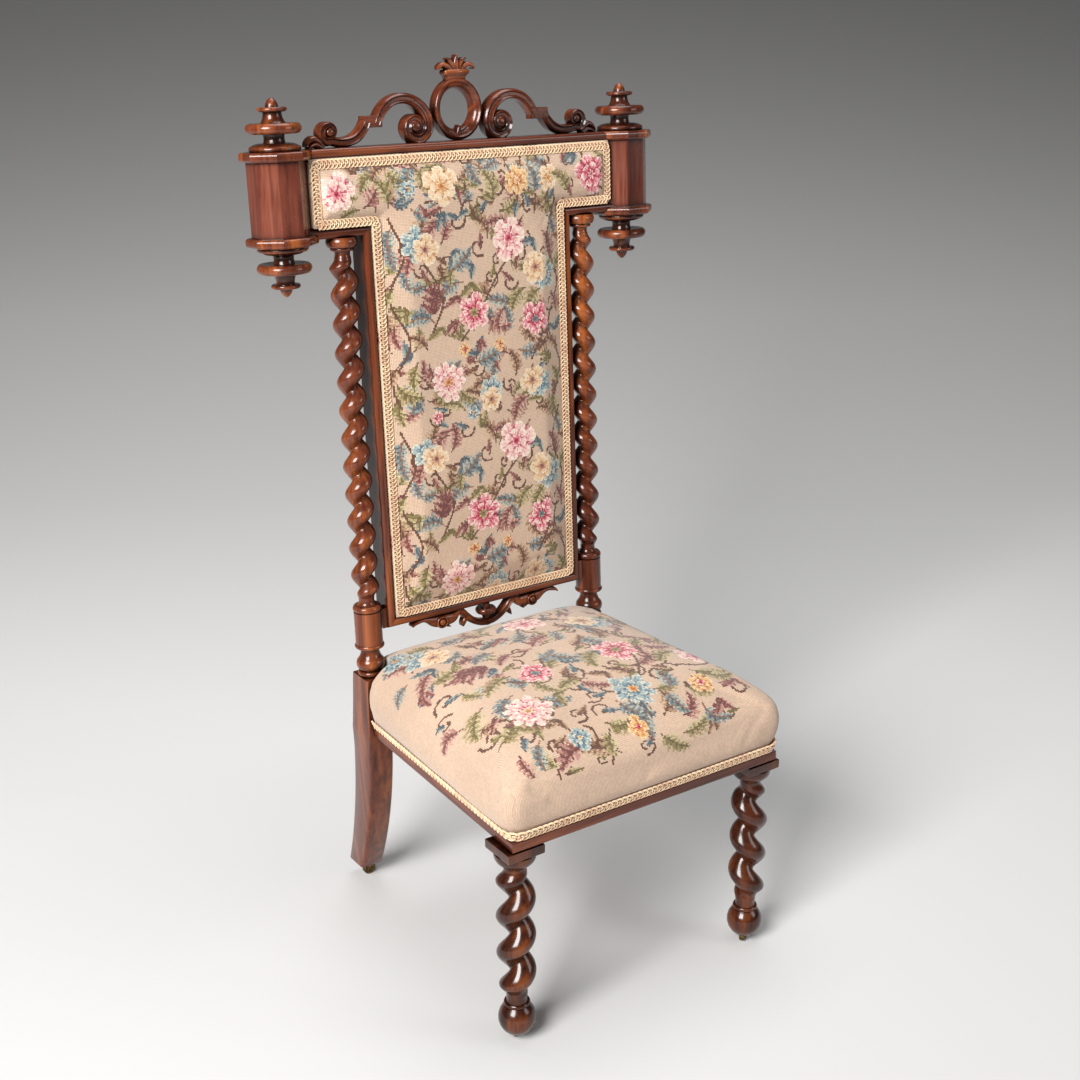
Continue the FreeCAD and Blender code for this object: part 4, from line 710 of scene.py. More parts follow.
GROUND = (0.62, 0.445, 0.325)
ROSE = wools("8a1730", "bf3c58", "de8e96", "f0d4c8")
BLUSH = wools("b54860", "dc979c", "ecc6bb", "f3e2d3")
CREAM = wools("b8804e", "d6ac80", "e4c8a4", "ecd9bf")
BLUE = wools("3c586c", "64818f", "9dacaa", "d0cfc0")
GOLD = wools("a45a2c", "c98a4c", "dbb07a", "e6cca4")
PLUM = wools("6b3a36", "935f55", "b5877a", "cfab9a")
OLIVE = wools("6a5c38", "8c7c50", "ab9b70", "c8b893")
TEAL = wools("48535a", "677377", "8c9490", "b4b2a4")
BROWN = wools("62402f", "88624a", "aa876a", "c8ab8d")
STEM = BROWN[0]


class Canvas:
    """Stitches laid one motif over another."""

    def __init__(self, across, along, seed):
        self.across = across
        self.along = along
        self.chance = np.random.default_rng(seed)
        self.colour = np.empty((len(across), 3))
        self.colour[:] = GROUND
        self.colour *= (0.93 + 0.14 * self.chance.random(len(across)))[:, None]

    def near(self, x, y, reach):
        chosen = np.nonzero((abs(self.across - x) < reach) & (abs(self.along - y) < reach))[0]
        dx = self.across[chosen] - x
        dy = self.along[chosen] - y
        return chosen, np.hypot(dx, dy), np.arctan2(dy, dx)

    def lay(self, chosen, mask, tone, shades):
        """Lay four shades of wool by a tone of 0 to 1, with the unevenness of hand work."""
        tone = tone + self.chance.normal(0, 0.07, len(tone))
        picked = np.digitize(tone, (0.27, 0.52, 0.77))
        wool = np.array(shades)[picked]
        self.colour[chosen[mask]] = wool[mask]

    def flower(self, x, y, radius, petals, shades, heart, depth=0.3, turn=0.0):
        """Full flower: two rows of notched petals that pale to the rim, round a heart of another wool."""
        for share, shift, lift in ((1.0, 0.0, 0.1), (0.66, pi / petals, 0.02)):
            chosen, distance, angle = self.near(x, y, radius * 1.1)
            wave = np.abs(np.cos(petals / 2 * (angle - turn - shift)))
            lengths = 0.82 + 0.28 * self.chance.random(petals)
            petal = np.round((angle - turn - shift) / (2 * pi / petals)).astype(int) % petals
            rim = radius * share * (1 - depth + depth * wave ** 0.55) * lengths[petal]
            streak = 0.12 * np.cos(petals * 4 * (angle - turn))
            tone = distance / rim * 0.95 - lift - 0.55 * (wave < 0.3) + streak
            self.lay(chosen, distance < rim, tone, shades)
        inner, distance, angle = self.near(x, y, radius * 0.36)
        rim = radius * (0.22 + 0.06 * np.cos(7 * angle))
        self.lay(inner, distance < rim, distance / (radius * 0.28), heart)

    def pansy(self, x, y, radius, turn):
        """Cream bloom with blue petals behind it on one side, and a brown heart."""
        ahead = radius * cos(turn)
        aside = radius * sin(turn)
        self.flower(x + 0.35 * ahead, y + 0.35 * aside, radius * 0.8, 6, BLUE, BLUE, 0.4, turn)
        self.flower(x - 0.2 * ahead, y - 0.2 * aside, radius * 0.74, 5, CREAM, PLUM, 0.3, turn)

    def leaf(self, x, y, length, width, turn, shades, lobes=0, bend=0.25):
        """Pointed leaf, bent, with a dark vein and one side in the light; lobes notch its edges."""
        chosen, distance, angle = self.near(x, y, length * 1.05)
        along = distance * np.cos(angle - turn)
        share = np.clip(along / length, 0, 1)
        aside = distance * np.sin(angle - turn) - bend * length * share * share
        edge = width * np.sin(pi * share ** 0.75) ** 0.8
        if lobes:
            edge = edge * (0.5 + 0.5 * np.abs(np.sin(pi * lobes * share)))
        mask = (along > 0) & (along < length) & (np.abs(aside) < edge)
        tone = 0.36 + 0.42 * aside / (width + 0.1) + 0.25 * share - 0.4 * (np.abs(aside) < 0.9)
        self.lay(chosen, mask, tone, shades)

    def stem(self, points, width=1.5):
        """Fine branch through a few points, along smooth curves."""
        for spot in smooth_line([(*point, width) for point in points], 48):
            chosen, distance, angle = self.near(spot.x, spot.y, width)
            self.colour[chosen[distance < width]] = STEM

    def spray(self, x, y, length, turn, shades, lobes=6, bend=1.1):
        """Acanthus leaf: a bowed stalk between rows of pointed leaflets that slant towards its tip."""
        chosen, distance, angle = self.near(x, y, length * 1.3)
        radius = length / bend
        side = distance * np.sin(angle - turn) - radius
        ahead = distance * np.cos(angle - turn)
        hand = copysign(1, bend)
        along = np.arctan2(hand * ahead, -hand * side) * abs(radius)
        aside = abs(radius) - np.hypot(ahead, side)
        share = np.clip(along / length, 0, 1)
        width = length * 0.34 * np.sin(pi * share ** 0.7) ** 0.7 + 0.1
        leaflet = np.abs(np.sin(pi * (lobes * share - 0.9 * np.abs(aside) / (0.34 * length))))
        edge = width * (0.3 + 0.7 * leaflet)
        mask = (along > 0) & (along < length) & (np.abs(aside) < edge)
        tone = 0.05 + 0.55 * leaflet + 0.3 * np.abs(aside) / width + 0.14 * np.sign(aside)
        self.lay(chosen, mask, tone, shades)
        rib = (along > -0.15 * length) & (along < 0.9 * length) & (np.abs(aside) < 1.0)
        self.colour[chosen[rib]] = BROWN[1] if shades is TEAL else shades[0]

    def curl(self, x, y, radius, turn, hand):
        """Tendril that winds into a small spiral."""
        points = []
        for step in range(9):
            angle = turn + hand * step * 0.75
            reach = radius * (1 - step / 11)
            points.append((x + reach * cos(angle), y + reach * sin(angle)))
        self.stem(points, 1.4)

    def thistle(self, x, y, length, turn):
        """Plum-coloured head of overlapping scales."""
        for row in range(3):
            for number in range(-2, 3):
                start = length * 0.24 * row
                self.leaf(x + start * cos(turn), y + start * sin(turn), length * 0.48, length * 0.1,
                          turn + number * 0.45, PLUM)

    def foliage(self, across, along, spacing, seed, allowed):
        """Scrolling leaves that fill the ground between the flowers, on a loose grid."""
        chance = np.random.default_rng(seed)
        families = (TEAL, OLIVE, PLUM, BROWN, TEAL, OLIVE, PLUM)
        rows = int((along[1] - along[0]) / spacing)
        columns = int((across[1] - across[0]) / spacing)
        for row in range(rows):
            for column in range(columns):
                x = across[0] + (column + 0.5 + 0.7 * (chance.random() - 0.5)) * spacing
                y = along[0] + (row + 0.5 + 0.7 * (chance.random() - 0.5)) * spacing
                turn = 2 * pi * chance.random()
                kind = chance.random()
                shades = families[int(chance.integers(len(families)))]
                hand = -1 if chance.random() < 0.5 else 1
                if not allowed(x, y):
                    continue
                if kind < 0.52:
                    length = 28 + 14 * chance.random()
                    self.spray(x, y, length, turn, shades, 6, hand * (0.8 + chance.random()))
                elif kind < 0.76:
                    self.curl(x, y, 12, turn, hand)
                    self.leaf(x, y, 20, 5, turn + 2.2, shades, 4)
                else:
                    self.leaf(x, y, 25, 7, turn, shades, 4, hand * 0.4)
                    self.leaf(x, y, 19, 5, turn + 1.0, shades, 3, -hand * 0.3)

    def stems(self, lines, base=0):
        for line in lines:
            self.stem([(x, base + y) for x, y in line])

    def plant(self, motifs, base=0):
        """Lay motifs in their order: each has its kind, its place and what that kind needs."""
        for kind, x, y, *look in motifs:
            kind(self, x, base + y, *look)


FLOWER = Canvas.flower
PANSY = Canvas.pansy
SPRAY = Canvas.spray
THISTLE = Canvas.thistle
REPEAT = 260
EDGE_STEM = ((112, 8), (124, 50), (102, 100), (123, 155), (104, 205), (119, 250))
EDGE_WOOLS = (OLIVE, BROWN, PLUM, OLIVE, TEAL)
BACK_STEMS = (
    ((-30, 96), (-6, 122), (30, 176), (60, 204)),
    ((-70, 110), (-54, 150), (-78, 196)),
    ((74, 60), (92, 96), (80, 130)))
BACK_MOTIFS = (
    (SPRAY, -38, 184, 38, 0.5, TEAL, 5, 0.5), (SPRAY, 40, 134, 32, -0.5, TEAL, 4, -0.5),
    (SPRAY, -8, 66, 42, 0.15, TEAL, 5, 0.5), (SPRAY, -96, 72, 32, 1.2, OLIVE, 4, -0.5),
    (THISTLE, -72, 134, 40, 1.3), (FLOWER, -10, 128, 27, 6, ROSE, OLIVE, 0.40, 0.3),
    (FLOWER, 81, 110, 23, 5, ROSE, TEAL, 0.42, 0.9), (FLOWER, -52, 46, 26, 11, BLUSH, GOLD, 0.30),
    (PANSY, 11, 20, 24, 1.4), (PANSY, 78, 30, 26, -0.4), (FLOWER, 45, 216, 28, 6, BLUSH, ROSE, 0.25, 0.2),
    (PANSY, 88, 172, 27, -0.7), (PANSY, -80, 214, 27, 2.6), (FLOWER, -26, 84, 9, 4, GOLD, ROSE, 0.2),
    (FLOWER, 26, 84, 9, 4, GOLD, ROSE, 0.2), (FLOWER, -70, 4, 9, 4, ROSE, BLUSH, 0.3),
    (FLOWER, -18, 2, 9, 5, BLUE, GOLD, 0.35))
BAR_FLOWERS = ((-186, BLUSH, ROSE, 25), (-47, CREAM, GOLD, 25), (62, GOLD, CREAM, 20), (178, ROSE, BLUSH, 25),
               (110, CREAM, GOLD, 17), (-92, BLUE, GOLD, 11))
BAR_SPRAYS = ((-148, 0.6, PLUM), (-120, 1.6, OLIVE), (8, 0.2, OLIVE), (24, 1.4, OLIVE), (86, 1.2, TEAL),
              (140, 1.9, OLIVE))


def back_design(across, along):
    """Climbing flowers that repeat up the back, and a row of blooms along its bar."""
    canvas = Canvas(across, along, 11)
    for base in (54, 54 + REPEAT, 54 + 2 * REPEAT):
        canvas.foliage((-134, 134), (base, base + REPEAT), 23.5, 5, lambda x, y: y < 640)
    canvas.foliage((-204, 204), (566, 650), 25, 9, lambda x, y: True)
    for base in (62, 62 + REPEAT):
        for side in (-1, 1):
            canvas.stem([(side * x, base + y) for x, y in EDGE_STEM])
            for number, shades in enumerate(EDGE_WOOLS):
                turn = pi / 2 + side * (0.7 if number % 2 else 0.1)
                canvas.spray(side * 119, base + 22 + 48 * number, 27, turn, shades, 4, side * 0.7)
        canvas.stems(BACK_STEMS, base)
        canvas.plant(BACK_MOTIFS, base)
    for x, shades, heart, radius in BAR_FLOWERS:
        canvas.flower(x, 606, radius, 6, shades, heart, 0.27, x * 0.01)
    for x, turn, shades in BAR_SPRAYS:
        canvas.spray(x, 590, 36, turn, shades, 5)
    return canvas.colour


SEAT_SPREAD = 1.14
SEAT_STEMS = (
    ((-14, 30), (18, 62), (52, 48), (84, 20)),
    ((-90, -60), (-50, -86), (-30, -40)),
    ((30, -140), (64, -84), (40, -40)),
    ((96, -120), (130, -128), (152, -100)))
SEAT_MOTIFS = (
    (SPRAY, -30, 14, 36, 0.3, TEAL), (SPRAY, -128, 26, 34, 3.4, PLUM), (SPRAY, -120, -170, 28, 3.9, TEAL),
    (SPRAY, -40, -180, 28, 4.0, OLIVE), (SPRAY, 80, -160, 30, 5.4, OLIVE), (SPRAY, 118, -150, 30, 5.7, OLIVE),
    (SPRAY, 150, -140, 28, 0.2, PLUM), (SPRAY, -20, -104, 32, 5.2, PLUM), (SPRAY, 92, -66, 34, 5.6, PLUM),
    (SPRAY, 14, -172, 30, 3.9, TEAL), (SPRAY, -146, -176, 26, 4.4, PLUM), (SPRAY, 52, -158, 30, 4.6, TEAL),
    (THISTLE, -86, -22, 42, 2.7), (FLOWER, 14, 58, 27, 6, BLUSH, ROSE, 0.28, 0.2), (PANSY, 82, 28, 28, -0.6),
    (FLOWER, 56, -62, 27, 6, ROSE, OLIVE, 0.42, 0.4), (FLOWER, 134, -104, 24, 6, BLUSH, ROSE, 0.28, 0.1),
    (FLOWER, -52, -64, 22, 8, ROSE, TEAL, 0.45), (FLOWER, -100, -122, 27, 12, BLUSH, CREAM, 0.35),
    (FLOWER, 22, -138, 27, 9, BLUE, GOLD, 0.4), (PANSY, -112, 58, 26, 2.4),
    (FLOWER, -40, 104, 15, 4, GOLD, ROSE, 0.3), (FLOWER, -136, 92, 16, 5, BLUE, GOLD, 0.35),
    (FLOWER, 40, 118, 18, 5, BLUSH, ROSE, 0.3), (FLOWER, 96, 104, 13, 5, BLUE, GOLD, 0.3),
    (FLOWER, -74, -176, 12, 4, BLUE, CREAM, 0.25), (FLOWER, -4, -182, 12, 4, GOLD, ROSE, 0.25),
    (FLOWER, 98, -158, 15, 5, GOLD, ROSE, 0.3), (FLOWER, 128, 58, 12, 4, GOLD, ROSE, 0.3))


def in_seat_top(x, y):
    """Whether a leaf may start here: inside a wavy oval on the seat's top."""
    return hypot(x / 178, (y + 40) / 180) + 0.08 * sin(0.09 * x + 0.05 * y) < 1.03


def seat_design(across, along):
    """Flowers gathered on the seat's top; the sides stay plain."""
    canvas = Canvas(across / SEAT_SPREAD, along / SEAT_SPREAD, 23)
    canvas.foliage((-165, 165), (-215, 100), 24, 3, in_seat_top)
    canvas.stems(SEAT_STEMS)
    canvas.plant(SEAT_MOTIFS)
    return canvas.colour


def stitch_mesh(piece, place, design):
    """Give a cover its canvas coordinates and the colour of each stitch, one face to a stitch."""
    mesh = piece.data
    middles = np.array([place(face.center) for face in mesh.polygons])
    sizes = np.array([face.loop_total for face in mesh.polygons])
    colours = np.ones((len(middles), 4), dtype=np.float32)
    colours[:, :3] = design(middles[:, 0], middles[:, 1])
    layer = mesh.color_attributes.new("stitch", "FLOAT_COLOR", "CORNER")
    layer.data.foreach_set("color", np.repeat(colours, sizes, axis=0).ravel())
    spots = np.array([place(vertex.co) for vertex in mesh.vertices])
    canvas = mesh.uv_layers.new(name="canvas")
    corners = np.empty(len(mesh.loops), dtype=np.int32)
    mesh.loops.foreach_get("vertex_index", corners)
    canvas.data.foreach_set("uv", (spots[corners] / STITCH).astype(np.float32).ravel())


# Stuffed pads

def remesh(piece, voxel):
    modifier = piece.modifiers.new("voxels", "REMESH")
    modifier.mode = "VOXEL"
    modifier.voxel_size = voxel
    apply_modifiers(piece)


def apply_modifiers(piece):
    settled = bpy.data.meshes.new_from_object(piece.evaluated_get(bpy.context.evaluated_depsgraph_get()))
    old = piece.data
    piece.modifiers.clear()
    piece.data = settled
    bpy.data.meshes.remove(old)


PRESSURE = 2.0
TRAVEL = 0.004
CLOTH_FRAMES = 20


def inflate(piece, held):
    """Stuff a pad: cloth under air pressure, held where it is nailed, each point's travel capped."""
    mesh = piece.data
    rest = [vertex.co.copy() for vertex in mesh.vertices]
    group = piece.vertex_groups.new(name="nailed")
    group.add([number for number, point in enumerate(rest) if held(point)], 1.0, "REPLACE")
    cover = piece.modifiers.new("cover", "CLOTH")
    cover.settings.vertex_group_mass = "nailed"
    cover.settings.use_pressure = True
    cover.settings.uniform_pressure_force = PRESSURE
    cover.settings.effector_weights.gravity = 0
    for number in range(1, CLOTH_FRAMES + 1):
        scene.frame_set(number)
    settled = piece.evaluated_get(bpy.context.evaluated_depsgraph_get()).data
    moved = [vertex.co.copy() for vertex in settled.vertices]
    piece.modifiers.clear()
    piece.vertex_groups.clear()
    for vertex, first, second in zip(mesh.vertices, rest, moved):
        shift = second - first
        if shift.length > TRAVEL:
            shift *= TRAVEL / shift.length
        vertex.co = first + shift
    scene.frame_set(1)
    softer = piece.modifiers.new("softer", "SUBSURF")
    softer.levels = 1
    apply_modifiers(piece)
    piece.data.shade_smooth()


def tee_inset(x, height):
    """Distance in from the edge of the T where its cover is nailed down."""
    edge = LIP + 0.6
    in_bar = min(height - BAR_BOTTOM - edge, FRAME_TOP - edge - height, BAR_END - abs(x))
    in_shaft = min(FRAME_HALF - edge - abs(x), height - FRAME_BOTTOM - edge, FRAME_TOP - edge - height)
    inner_corner = hypot(abs(x) - FRAME_HALF + edge, height - BAR_BOTTOM - edge)
    if in_bar > 0 and in_shaft > 0:
        return min(max(in_bar, in_shaft), FRAME_TOP - edge - height, inner_corner)
    return max(in_bar, in_shaft)


PAD_CELL = 3.6
PAD_REAR = -8.2
PAD_EDGE = -12.4
PAD_RISE = 10.5
PAD_FLAT = 11
PAD_ROLL = 26


def back_pad():
    """Stuffed back: flat under the braid, then a full roll up to a soft crown."""
    shape = Shape()

    def spot(column, row):
        return -BAR_END + column * PAD_CELL, FRAME_BOTTOM + row * PAD_CELL

    def corner_place(column, row, front):
        x, height = spot(column, row)
        roll = min(max(max(tee_inset(x, height), 0) - PAD_FLAT, 0) / PAD_ROLL, 1)
        crown = PAD_EDGE - PAD_RISE * sqrt(1 - (1 - roll) ** 2)
        return lean(x, crown if front else PAD_REAR, height)

    solid = set()
    for column in range(round(2 * BAR_END / PAD_CELL)):
        for row in range(round((FRAME_TOP - FRAME_BOTTOM) / PAD_CELL)):
            if tee_inset(*spot(column + 0.5, row + 0.5)) > 0:
                solid.add((column, row))
    for column, row in sorted(solid):
        ring = ((column, row), (column + 1, row), (column + 1, row + 1), (column, row + 1))
        front = [shape.corner(corner_place, *place, True) for place in ring]
        shape.faces.append(front)
        rear = [shape.corner(corner_place, *place, False) for place in reversed(ring)][::-1]
        shape.faces.append(rear[::-1])
        for number, (step_x, step_y) in enumerate(((0, -1), (1, 0), (0, 1), (-1, 0))):
            if (column + step_x, row + step_y) not in solid:
                after = (number + 1) % 4
                shape.faces.append([front[after], front[number], rear[number], rear[after]])
    piece = shape.piece("back_pad_needlework", 60)

    def nailed(point):
        x, depth, height = unlean(point)
        return depth > -11 or tee_inset(x, height) < 10

    def place(point):
        x, depth, height = unlean(point)
        return x, height

    inflate(piece, nailed)
    stitch_mesh(piece, place, back_design)
    finish_piece(piece, wool_canvas, "back_cover", "back_stuffing")


SEAT_EDGE = 352.0
SEAT_REAR = 159.4
SEAT_LEVELS = ((280.4, 10.5), (288, 6.4), (298, 3.2), (309, 1.0), (320, 0), (330, 0.6), (339, 2.1), (346, 5),
               (352, 10), (357, 16), (362.5, 24), (368, 34), (374, 49), (379, 66), (383.5, 84), (387, 102),
               (389.3, 120), (391, 138), (392, 160))
NOTCH = ((155.0, 114.3), (260, 114.3), (260, 260), (155.0, 260))
VOXEL = 0.005


def seat_ring(height, inset):
    """Plan outline of the cushion at a level, with soft corners."""
    front = SEAT_FRONT - 8 + inset * 1.25
    rear = SEAT_REAR - inset * 0.725
    half_front = SEAT_FRONT_HALF + 8 - inset - SEAT_TAPER * (front - SEAT_FRONT)
    half_rear = half_front - SEAT_TAPER * (rear - front)
    soft = min(20 + 0.45 * max(inset - 5, 0), 0.45 * min(2 * half_rear, rear - front))
    corners = ((half_front, front), (half_rear, rear), (-half_rear, rear), (-half_front, front))
    return soft_ring(corners, soft, 6, height)


def seat_pad():
    """Stuffed-over seat: drawn in at the braid, full at the sides, low-crowned, cut round the uprights."""
    shape = Shape()
    shape.skin([seat_ring(height, inset) for height, inset in SEAT_LEVELS])
    piece = shape.piece("seat_pad_needlework", 60)
    notch = Shape()
    for side in (-1, 1):
        corners = NOTCH[::side]
        notch.skin([[Vector((side * x, y, height)) * MM for x, y in corners] for height in (240, 420)])
    cutter = notch.piece("seat_notch")
    carve = piece.modifiers.new("notch", "BOOLEAN")
    carve.operation = "DIFFERENCE"
    carve.object = cutter
    apply_modifiers(piece)
    bpy.data.objects.remove(cutter)
    remesh(piece, VOXEL)

    def nailed(point):
        return point.z / MM < 292 or point.y / MM > 112

    def place(point):
        x, y, z = point / MM
        drop = max(0, SEAT_EDGE - z)
        front_edge = SEAT_FRONT - 4
        half = SEAT_FRONT_HALF + 4 - SEAT_TAPER * (y - SEAT_FRONT)
        if y < front_edge + 12 and abs(x) < half - 6:
            return x, y - drop
        if y > SEAT_REAR - 14:
            return x, y + drop
        if abs(x) > half - 12:
            return x + copysign(drop, x), y
        return x, y

    inflate(piece, nailed)
    stitch_mesh(piece, place, seat_design)
    finish_piece(piece, wool_canvas, "seat_cover", "seat_stuffing")


back_pad()
seat_pad()


# Gimp braid

def walk(corners, round_radius):
    """Path with rounded corners, and how far along it each of its points is."""
    path = [Vector(corners[0])]
    for before, knee, after in zip(corners, corners[1:], corners[2:]):
        before, knee, after = Vector(before), Vector(knee), Vector(after)
        first = knee + (before - knee).normalized() * round_radius
        last = knee + (after - knee).normalized() * round_radius
        for step in range(9):
            share = step / 8
            path.append(first.lerp(knee, share).lerp(knee.lerp(last, share), share))
    path.append(Vector(corners[-1]))
    lengths = [0.0]
    for first, second in zip(path, path[1:]):
        lengths.append(lengths[-1] + (second - first).length)
    return path, lengths


def along_path(path, lengths, distance):
    distance = min(max(distance, 0), lengths[-1] - 1e-6)
    number = int(np.searchsorted(lengths, distance, side="right")) - 1
    first, second = path[number], path[number + 1]
    share = (distance - lengths[number]) / (lengths[number + 1] - lengths[number])
    return first.lerp(second, share), (second - first).normalized()


def add_tube(shape, line, radius, sides=6):
    """Round thread along a line of points."""
    rings = []
    for number, spot in enumerate(line):
        ahead = line[min(number + 1, len(line) - 1)] - line[max(number - 1, 0)]
        ahead.normalize()
        across = ahead.cross(Vector((0.21, 0.55, 0.81))).normalized()
        rise = ahead.cross(across)
        ring = []
        for angle in circle(sides):
            ring.append(spot + (across * cos(angle) + rise * sin(angle)) * radius * MM)
        rings.append(ring)
    shape.skin(rings)


CORE_THREADS = (-0.3, 0, 0.3)
CORE_RADIUS = 1.1


def gimp_threads(shape, corners, to_world, width, pitch, corner_radius, thick=0.95):
    """Looped braid: two cords in slanting loops, one from each edge, over three flat core threads."""
    path, lengths = walk(corners, corner_radius)
    total = lengths[-1]
    loops = round(total / pitch)
    steps = 12
    for strand in (-1, 1):
        line = []
        for step in range(loops * steps + 1):
            angle = 2 * pi * step / steps + (strand + 1) * pi / 2
            distance = total * step / (loops * steps) + 0.42 * pitch * sin(angle)
            spot, ahead = along_path(path, lengths, distance)
            aside = Vector((-ahead.y, ahead.x))
            swing = strand * width * (0.19 + 0.27 * cos(angle))
            line.append(to_world(spot + aside * swing, 1.5 + 0.7 * sin(angle)))
        add_tube(shape, line, thick)
    for edge in CORE_THREADS:
        line = []
        for step in range(loops * 3 + 1):
            spot, ahead = along_path(path, lengths, total * step / (loops * 3))
            aside = Vector((-ahead.y, ahead.x))
            line.append(to_world(spot + aside * width * edge, 0.3))
        add_tube(shape, line, CORE_RADIUS)


def back_gimp():
    """Braid round the T, in an upper and a lower run."""
    edge = LIP + 6.0
    top = FRAME_TOP - edge
    bar = BAR_BOTTOM + edge
    half = FRAME_HALF - edge
    low = FRAME_BOTTOM + edge
    reach = 208.0
    shape = Shape()

    def to_world(spot, height):
        return lean(spot.x, -12.9 - height, spot.y)

    upper = [(-reach, bar), (-reach, top), (reach, top), (reach, bar)]
    lower = [(-reach, bar), (-half, bar), (-half, low), (half, low), (half, bar), (reach, bar)]
    for run in (upper, lower):
        gimp_threads(shape, run, to_world, 11.0, 5.4, 5)
    finish_piece(shape.piece("back_gimp_braid", 80), gold_braid, "back_gimp")


SEAT_GIMP_LOW = 280
SEAT_GIMP_MIDDLE = 286


def seat_gimp():
    """Braid round the front and sides of the seat, upright on the cover's lower edge."""
    half = SEAT_FRONT_HALF - 1.0
    front = SEAT_FRONT + 1.0
    rear = LEG_FRONT - 2
    rear_half = half - SEAT_TAPER * (rear - SEAT_FRONT)
    path, lengths = walk([(-rear_half, rear), (-half, front), (half, front), (rear_half, rear)], 16)
    shape = Shape()

    def to_world(spot, height):
        place, ahead = along_path(path, lengths, spot.x)
        out = Vector((ahead.y, -ahead.x))
        swell = max(spot.y - SEAT_GIMP_LOW, 0) * 0.42
        place = place + out * (height + swell)
        return Vector((place.x, place.y, spot.y)) * MM

    run = [(2, SEAT_GIMP_MIDDLE), (lengths[-1] - 2, SEAT_GIMP_MIDDLE)]
    gimp_threads(shape, run, to_world, 12.5, 7.4, 1, 1.3)
    finish_piece(shape.piece("seat_gimp_braid", 80), gold_braid, "seat_gimp")


back_gimp()
seat_gimp()


# Flat cloths out of sight of the sitter

def cloth_sheet(name, place, across, along, step, inside):
    """Sheet cut to an outline and tacked flat, with a slight sag in the middle."""
    shape = Shape()
    x_low, x_high = across
    y_low, y_high = along
    columns = round((x_high - x_low) / step)
    rows = round((y_high - y_low) / step)

    def spot(column, row):
        return x_low + column * (x_high - x_low) / columns, y_low + row * (y_high - y_low) / rows

    def corner_place(column, row):
        return place(*spot(column, row))

    for column in range(columns):
        for row in range(rows):
            if inside(*spot(column + 0.5, row + 0.5)):
                ring = ((column, row), (column + 1, row), (column + 1, row + 1), (column, row + 1))
                shape.faces.append([shape.corner(corner_place, *key) for key in ring])
    return shape.piece(name, 60)


def in_lining(x, height):
    return abs(x) < FRAME_HALF - TACKED or height > BAR_BOTTOM + TACKED


def lining_place(x, height):
    sag = 0.5 + 0.35 * sin(x * 0.05) * sin(height * 0.03)
    return lean(x, 18.1 + sag, height)


lining = cloth_sheet("back_lining_cloth", lining_place, (-212, 212),
                     (FRAME_BOTTOM + TACKED, FRAME_TOP - TACKED), 6.0, in_lining)
finish_piece(lining, lining_cloth, "back_lining")


DUST_HALF = 162.3
DUST_FRONT = -182.7
DUST_MIDDLE_HALF = 160.6
DUST_HEIGHT = 266.3


def dust_place(x, y):
    half = DUST_HALF - SEAT_TAPER * (y - DUST_FRONT)
    sag = 0.4 + 0.3 * sin(x * 0.04) * sin(y * 0.05)
    return Vector((x * half / DUST_MIDDLE_HALF, y, DUST_HEIGHT - sag)) * MM


dust = cloth_sheet("seat_dust_cloth", dust_place, (-158, 158), (-182, 114), 8.0, lambda x, y: True)
finish_piece(dust, lining_cloth, "seat_dust_cover")


# Floor, light and camera

VIEW_AHEAD = Vector((0.563, 0.827, 0))
VIEW_ASIDE = Vector((0.827, -0.563, 0))
# Painted shade: floor and backdrop greys that darken with distance from the chair.
FLOOR_PAINTED_SHADE_GREYS = ((0.0, 0.60), (0.25, 0.71), (0.47, 0.74), (0.7, 0.46), (0.87, 0.16), (1.0, 0.10))


def stage_material():
    """Pale floor with painted shade: it greys away into the distance, as though less light falls there."""
    material, tree, shader = new_material("studio_sweep_painted_shade")
    coordinates = shader_node(tree, "ShaderNodeTexCoord")
    aim = shader_node(tree, "ShaderNodeVectorMath", operation="DOT_PRODUCT")
    aim.inputs[1].default_value = VIEW_AHEAD
    tree.links.new(coordinates.outputs["Object"], aim.inputs[0])
    reach = shader_node(tree, "ShaderNodeMapRange")
    put(reach, From_Min=-0.5, From_Max=4.0, Value=aim.outputs["Value"])
    colour = colour_ramp(tree, reach.outputs["Result"], [(place, grey(tone)) for place, tone in FLOOR_PAINTED_SHADE_GREYS])
    put(shader, Base_Color=colour, Roughness=0.85, Specular_IOR_Level=0.1)
    return material


SWEEP_START = 1.6
SWEEP_RADIUS = 2.0
SWEEP_STEPS = 18


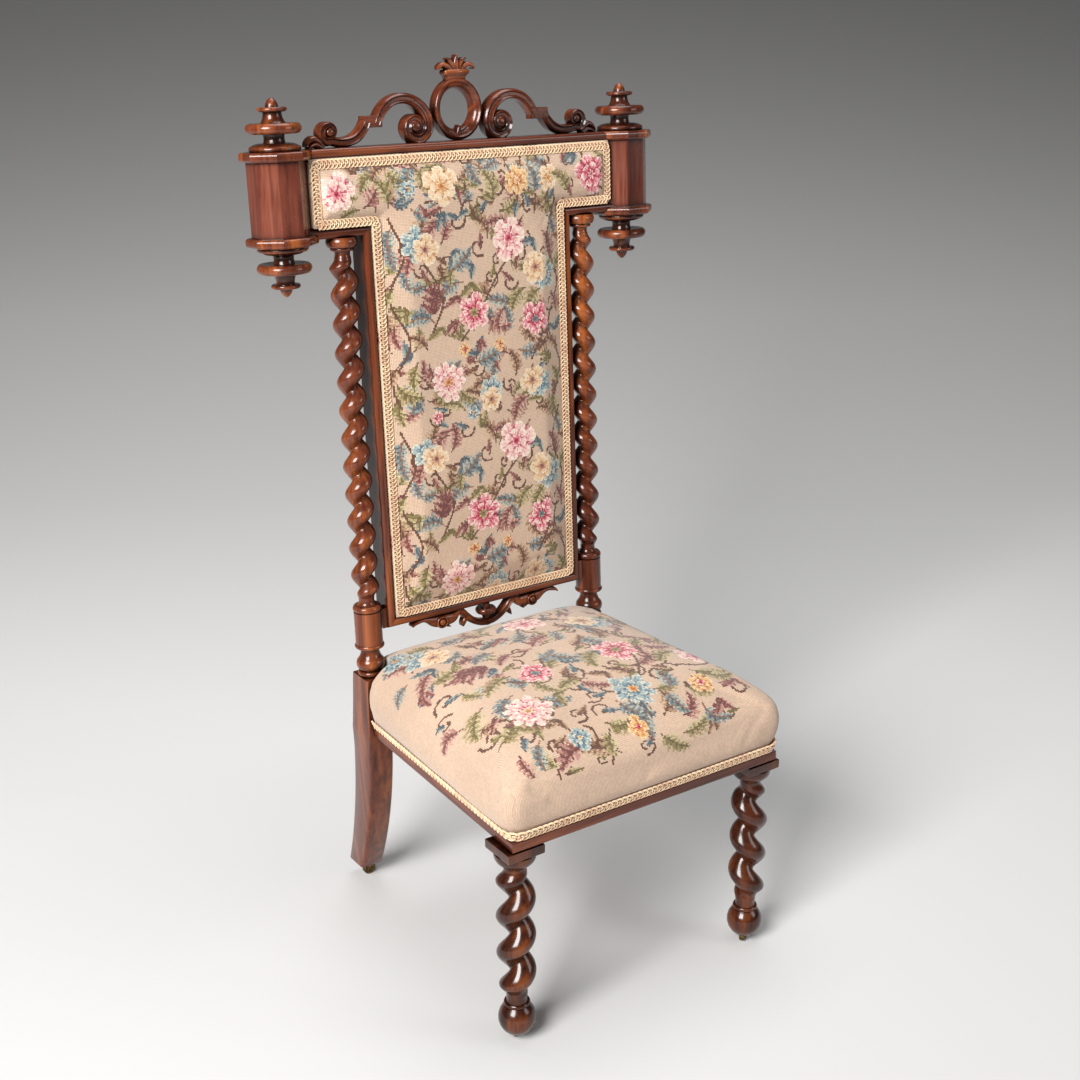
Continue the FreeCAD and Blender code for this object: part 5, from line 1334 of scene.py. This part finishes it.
def make_stage():
    """Floor that curves up into a backdrop."""
    outline = [(-4.0, 0.0)]
    for step in range(SWEEP_STEPS + 1):
        angle = radians(90 / SWEEP_STEPS * step)
        rise = SWEEP_RADIUS - SWEEP_RADIUS * cos(angle)
        outline.append((SWEEP_START + SWEEP_RADIUS * sin(angle), rise))
    outline.append((SWEEP_START + SWEEP_RADIUS, 6.0))
    shape = Shape()
    for distance, height in outline:
        for reach in (-7.0, 7.0):
            shape.points.append(VIEW_AHEAD * distance + VIEW_ASIDE * reach + Vector((0, 0, height)))
    for number in range(len(outline) - 1):
        shape.faces.append((2 * number, 2 * number + 1, 2 * number + 3, 2 * number + 2))
    floor = shape.piece("studio_floor", 60)
    floor.data.materials.append(stage_material())


def area_light(name, place, target, width, power, colour=(1, 1, 1)):
    data = bpy.data.lights.new(name, "AREA")
    data.shape = "RECTANGLE"
    data.size = width
    data.size_y = width
    data.energy = power
    data.color = colour
    light = bpy.data.objects.new(name, data)
    light.location = place
    light.rotation_euler = (Vector(target) - Vector(place)).to_track_quat("-Z", "Y").to_euler()
    scene.collection.objects.link(light)


CAMERA_PLACE = (-1.0025, -1.4714, 1.1579)
AZIMUTH = radians(-34.228)
ELEVATION = radians(19.403)
ROLL = radians(-0.375)
FOCAL_PIXELS = 1523.0
PICTURE_PIXELS = 1080.0
SENSOR = 36.0


def make_camera():
    """Camera found from the photograph's straight edges."""
    level = cos(ELEVATION)
    back = Vector((sin(AZIMUTH) * level, -cos(AZIMUTH) * level, sin(ELEVATION)))
    side = (-back).cross(Vector((0, 0, 1))).normalized()
    rise = back.cross(side)
    right = side * cos(ROLL) + rise * sin(ROLL)
    up = rise * cos(ROLL) - side * sin(ROLL)
    data = bpy.data.cameras.new("camera")
    data.sensor_width = SENSOR
    data.lens = FOCAL_PIXELS / PICTURE_PIXELS * SENSOR
    camera = bpy.data.objects.new("camera", data)
    camera.matrix_world = Matrix((right, up, back)).transposed().to_4x4()
    camera.location = CAMERA_PLACE
    scene.collection.objects.link(camera)
    scene.camera = camera


make_stage()
area_light("key_light", (-2.8, -1.4, 2.4), (0, 0, 0.6), 1.7, 235, (1.0, 0.98, 0.96))
area_light("fill_light", (1.9, -2.3, 1.7), (0, 0, 0.6), 1.2, 18)
area_light("top_light", (0.3, 0.2, 3.1), (0, 0.1, 0.5), 1.8, 36)
world = bpy.data.worlds.new("studio")
world.use_nodes = True
put(world.node_tree.nodes["Background"], Color=(1, 1, 1, 1), Strength=0.1)
scene.world = world
scene.view_settings.view_transform = "Standard"
make_camera()
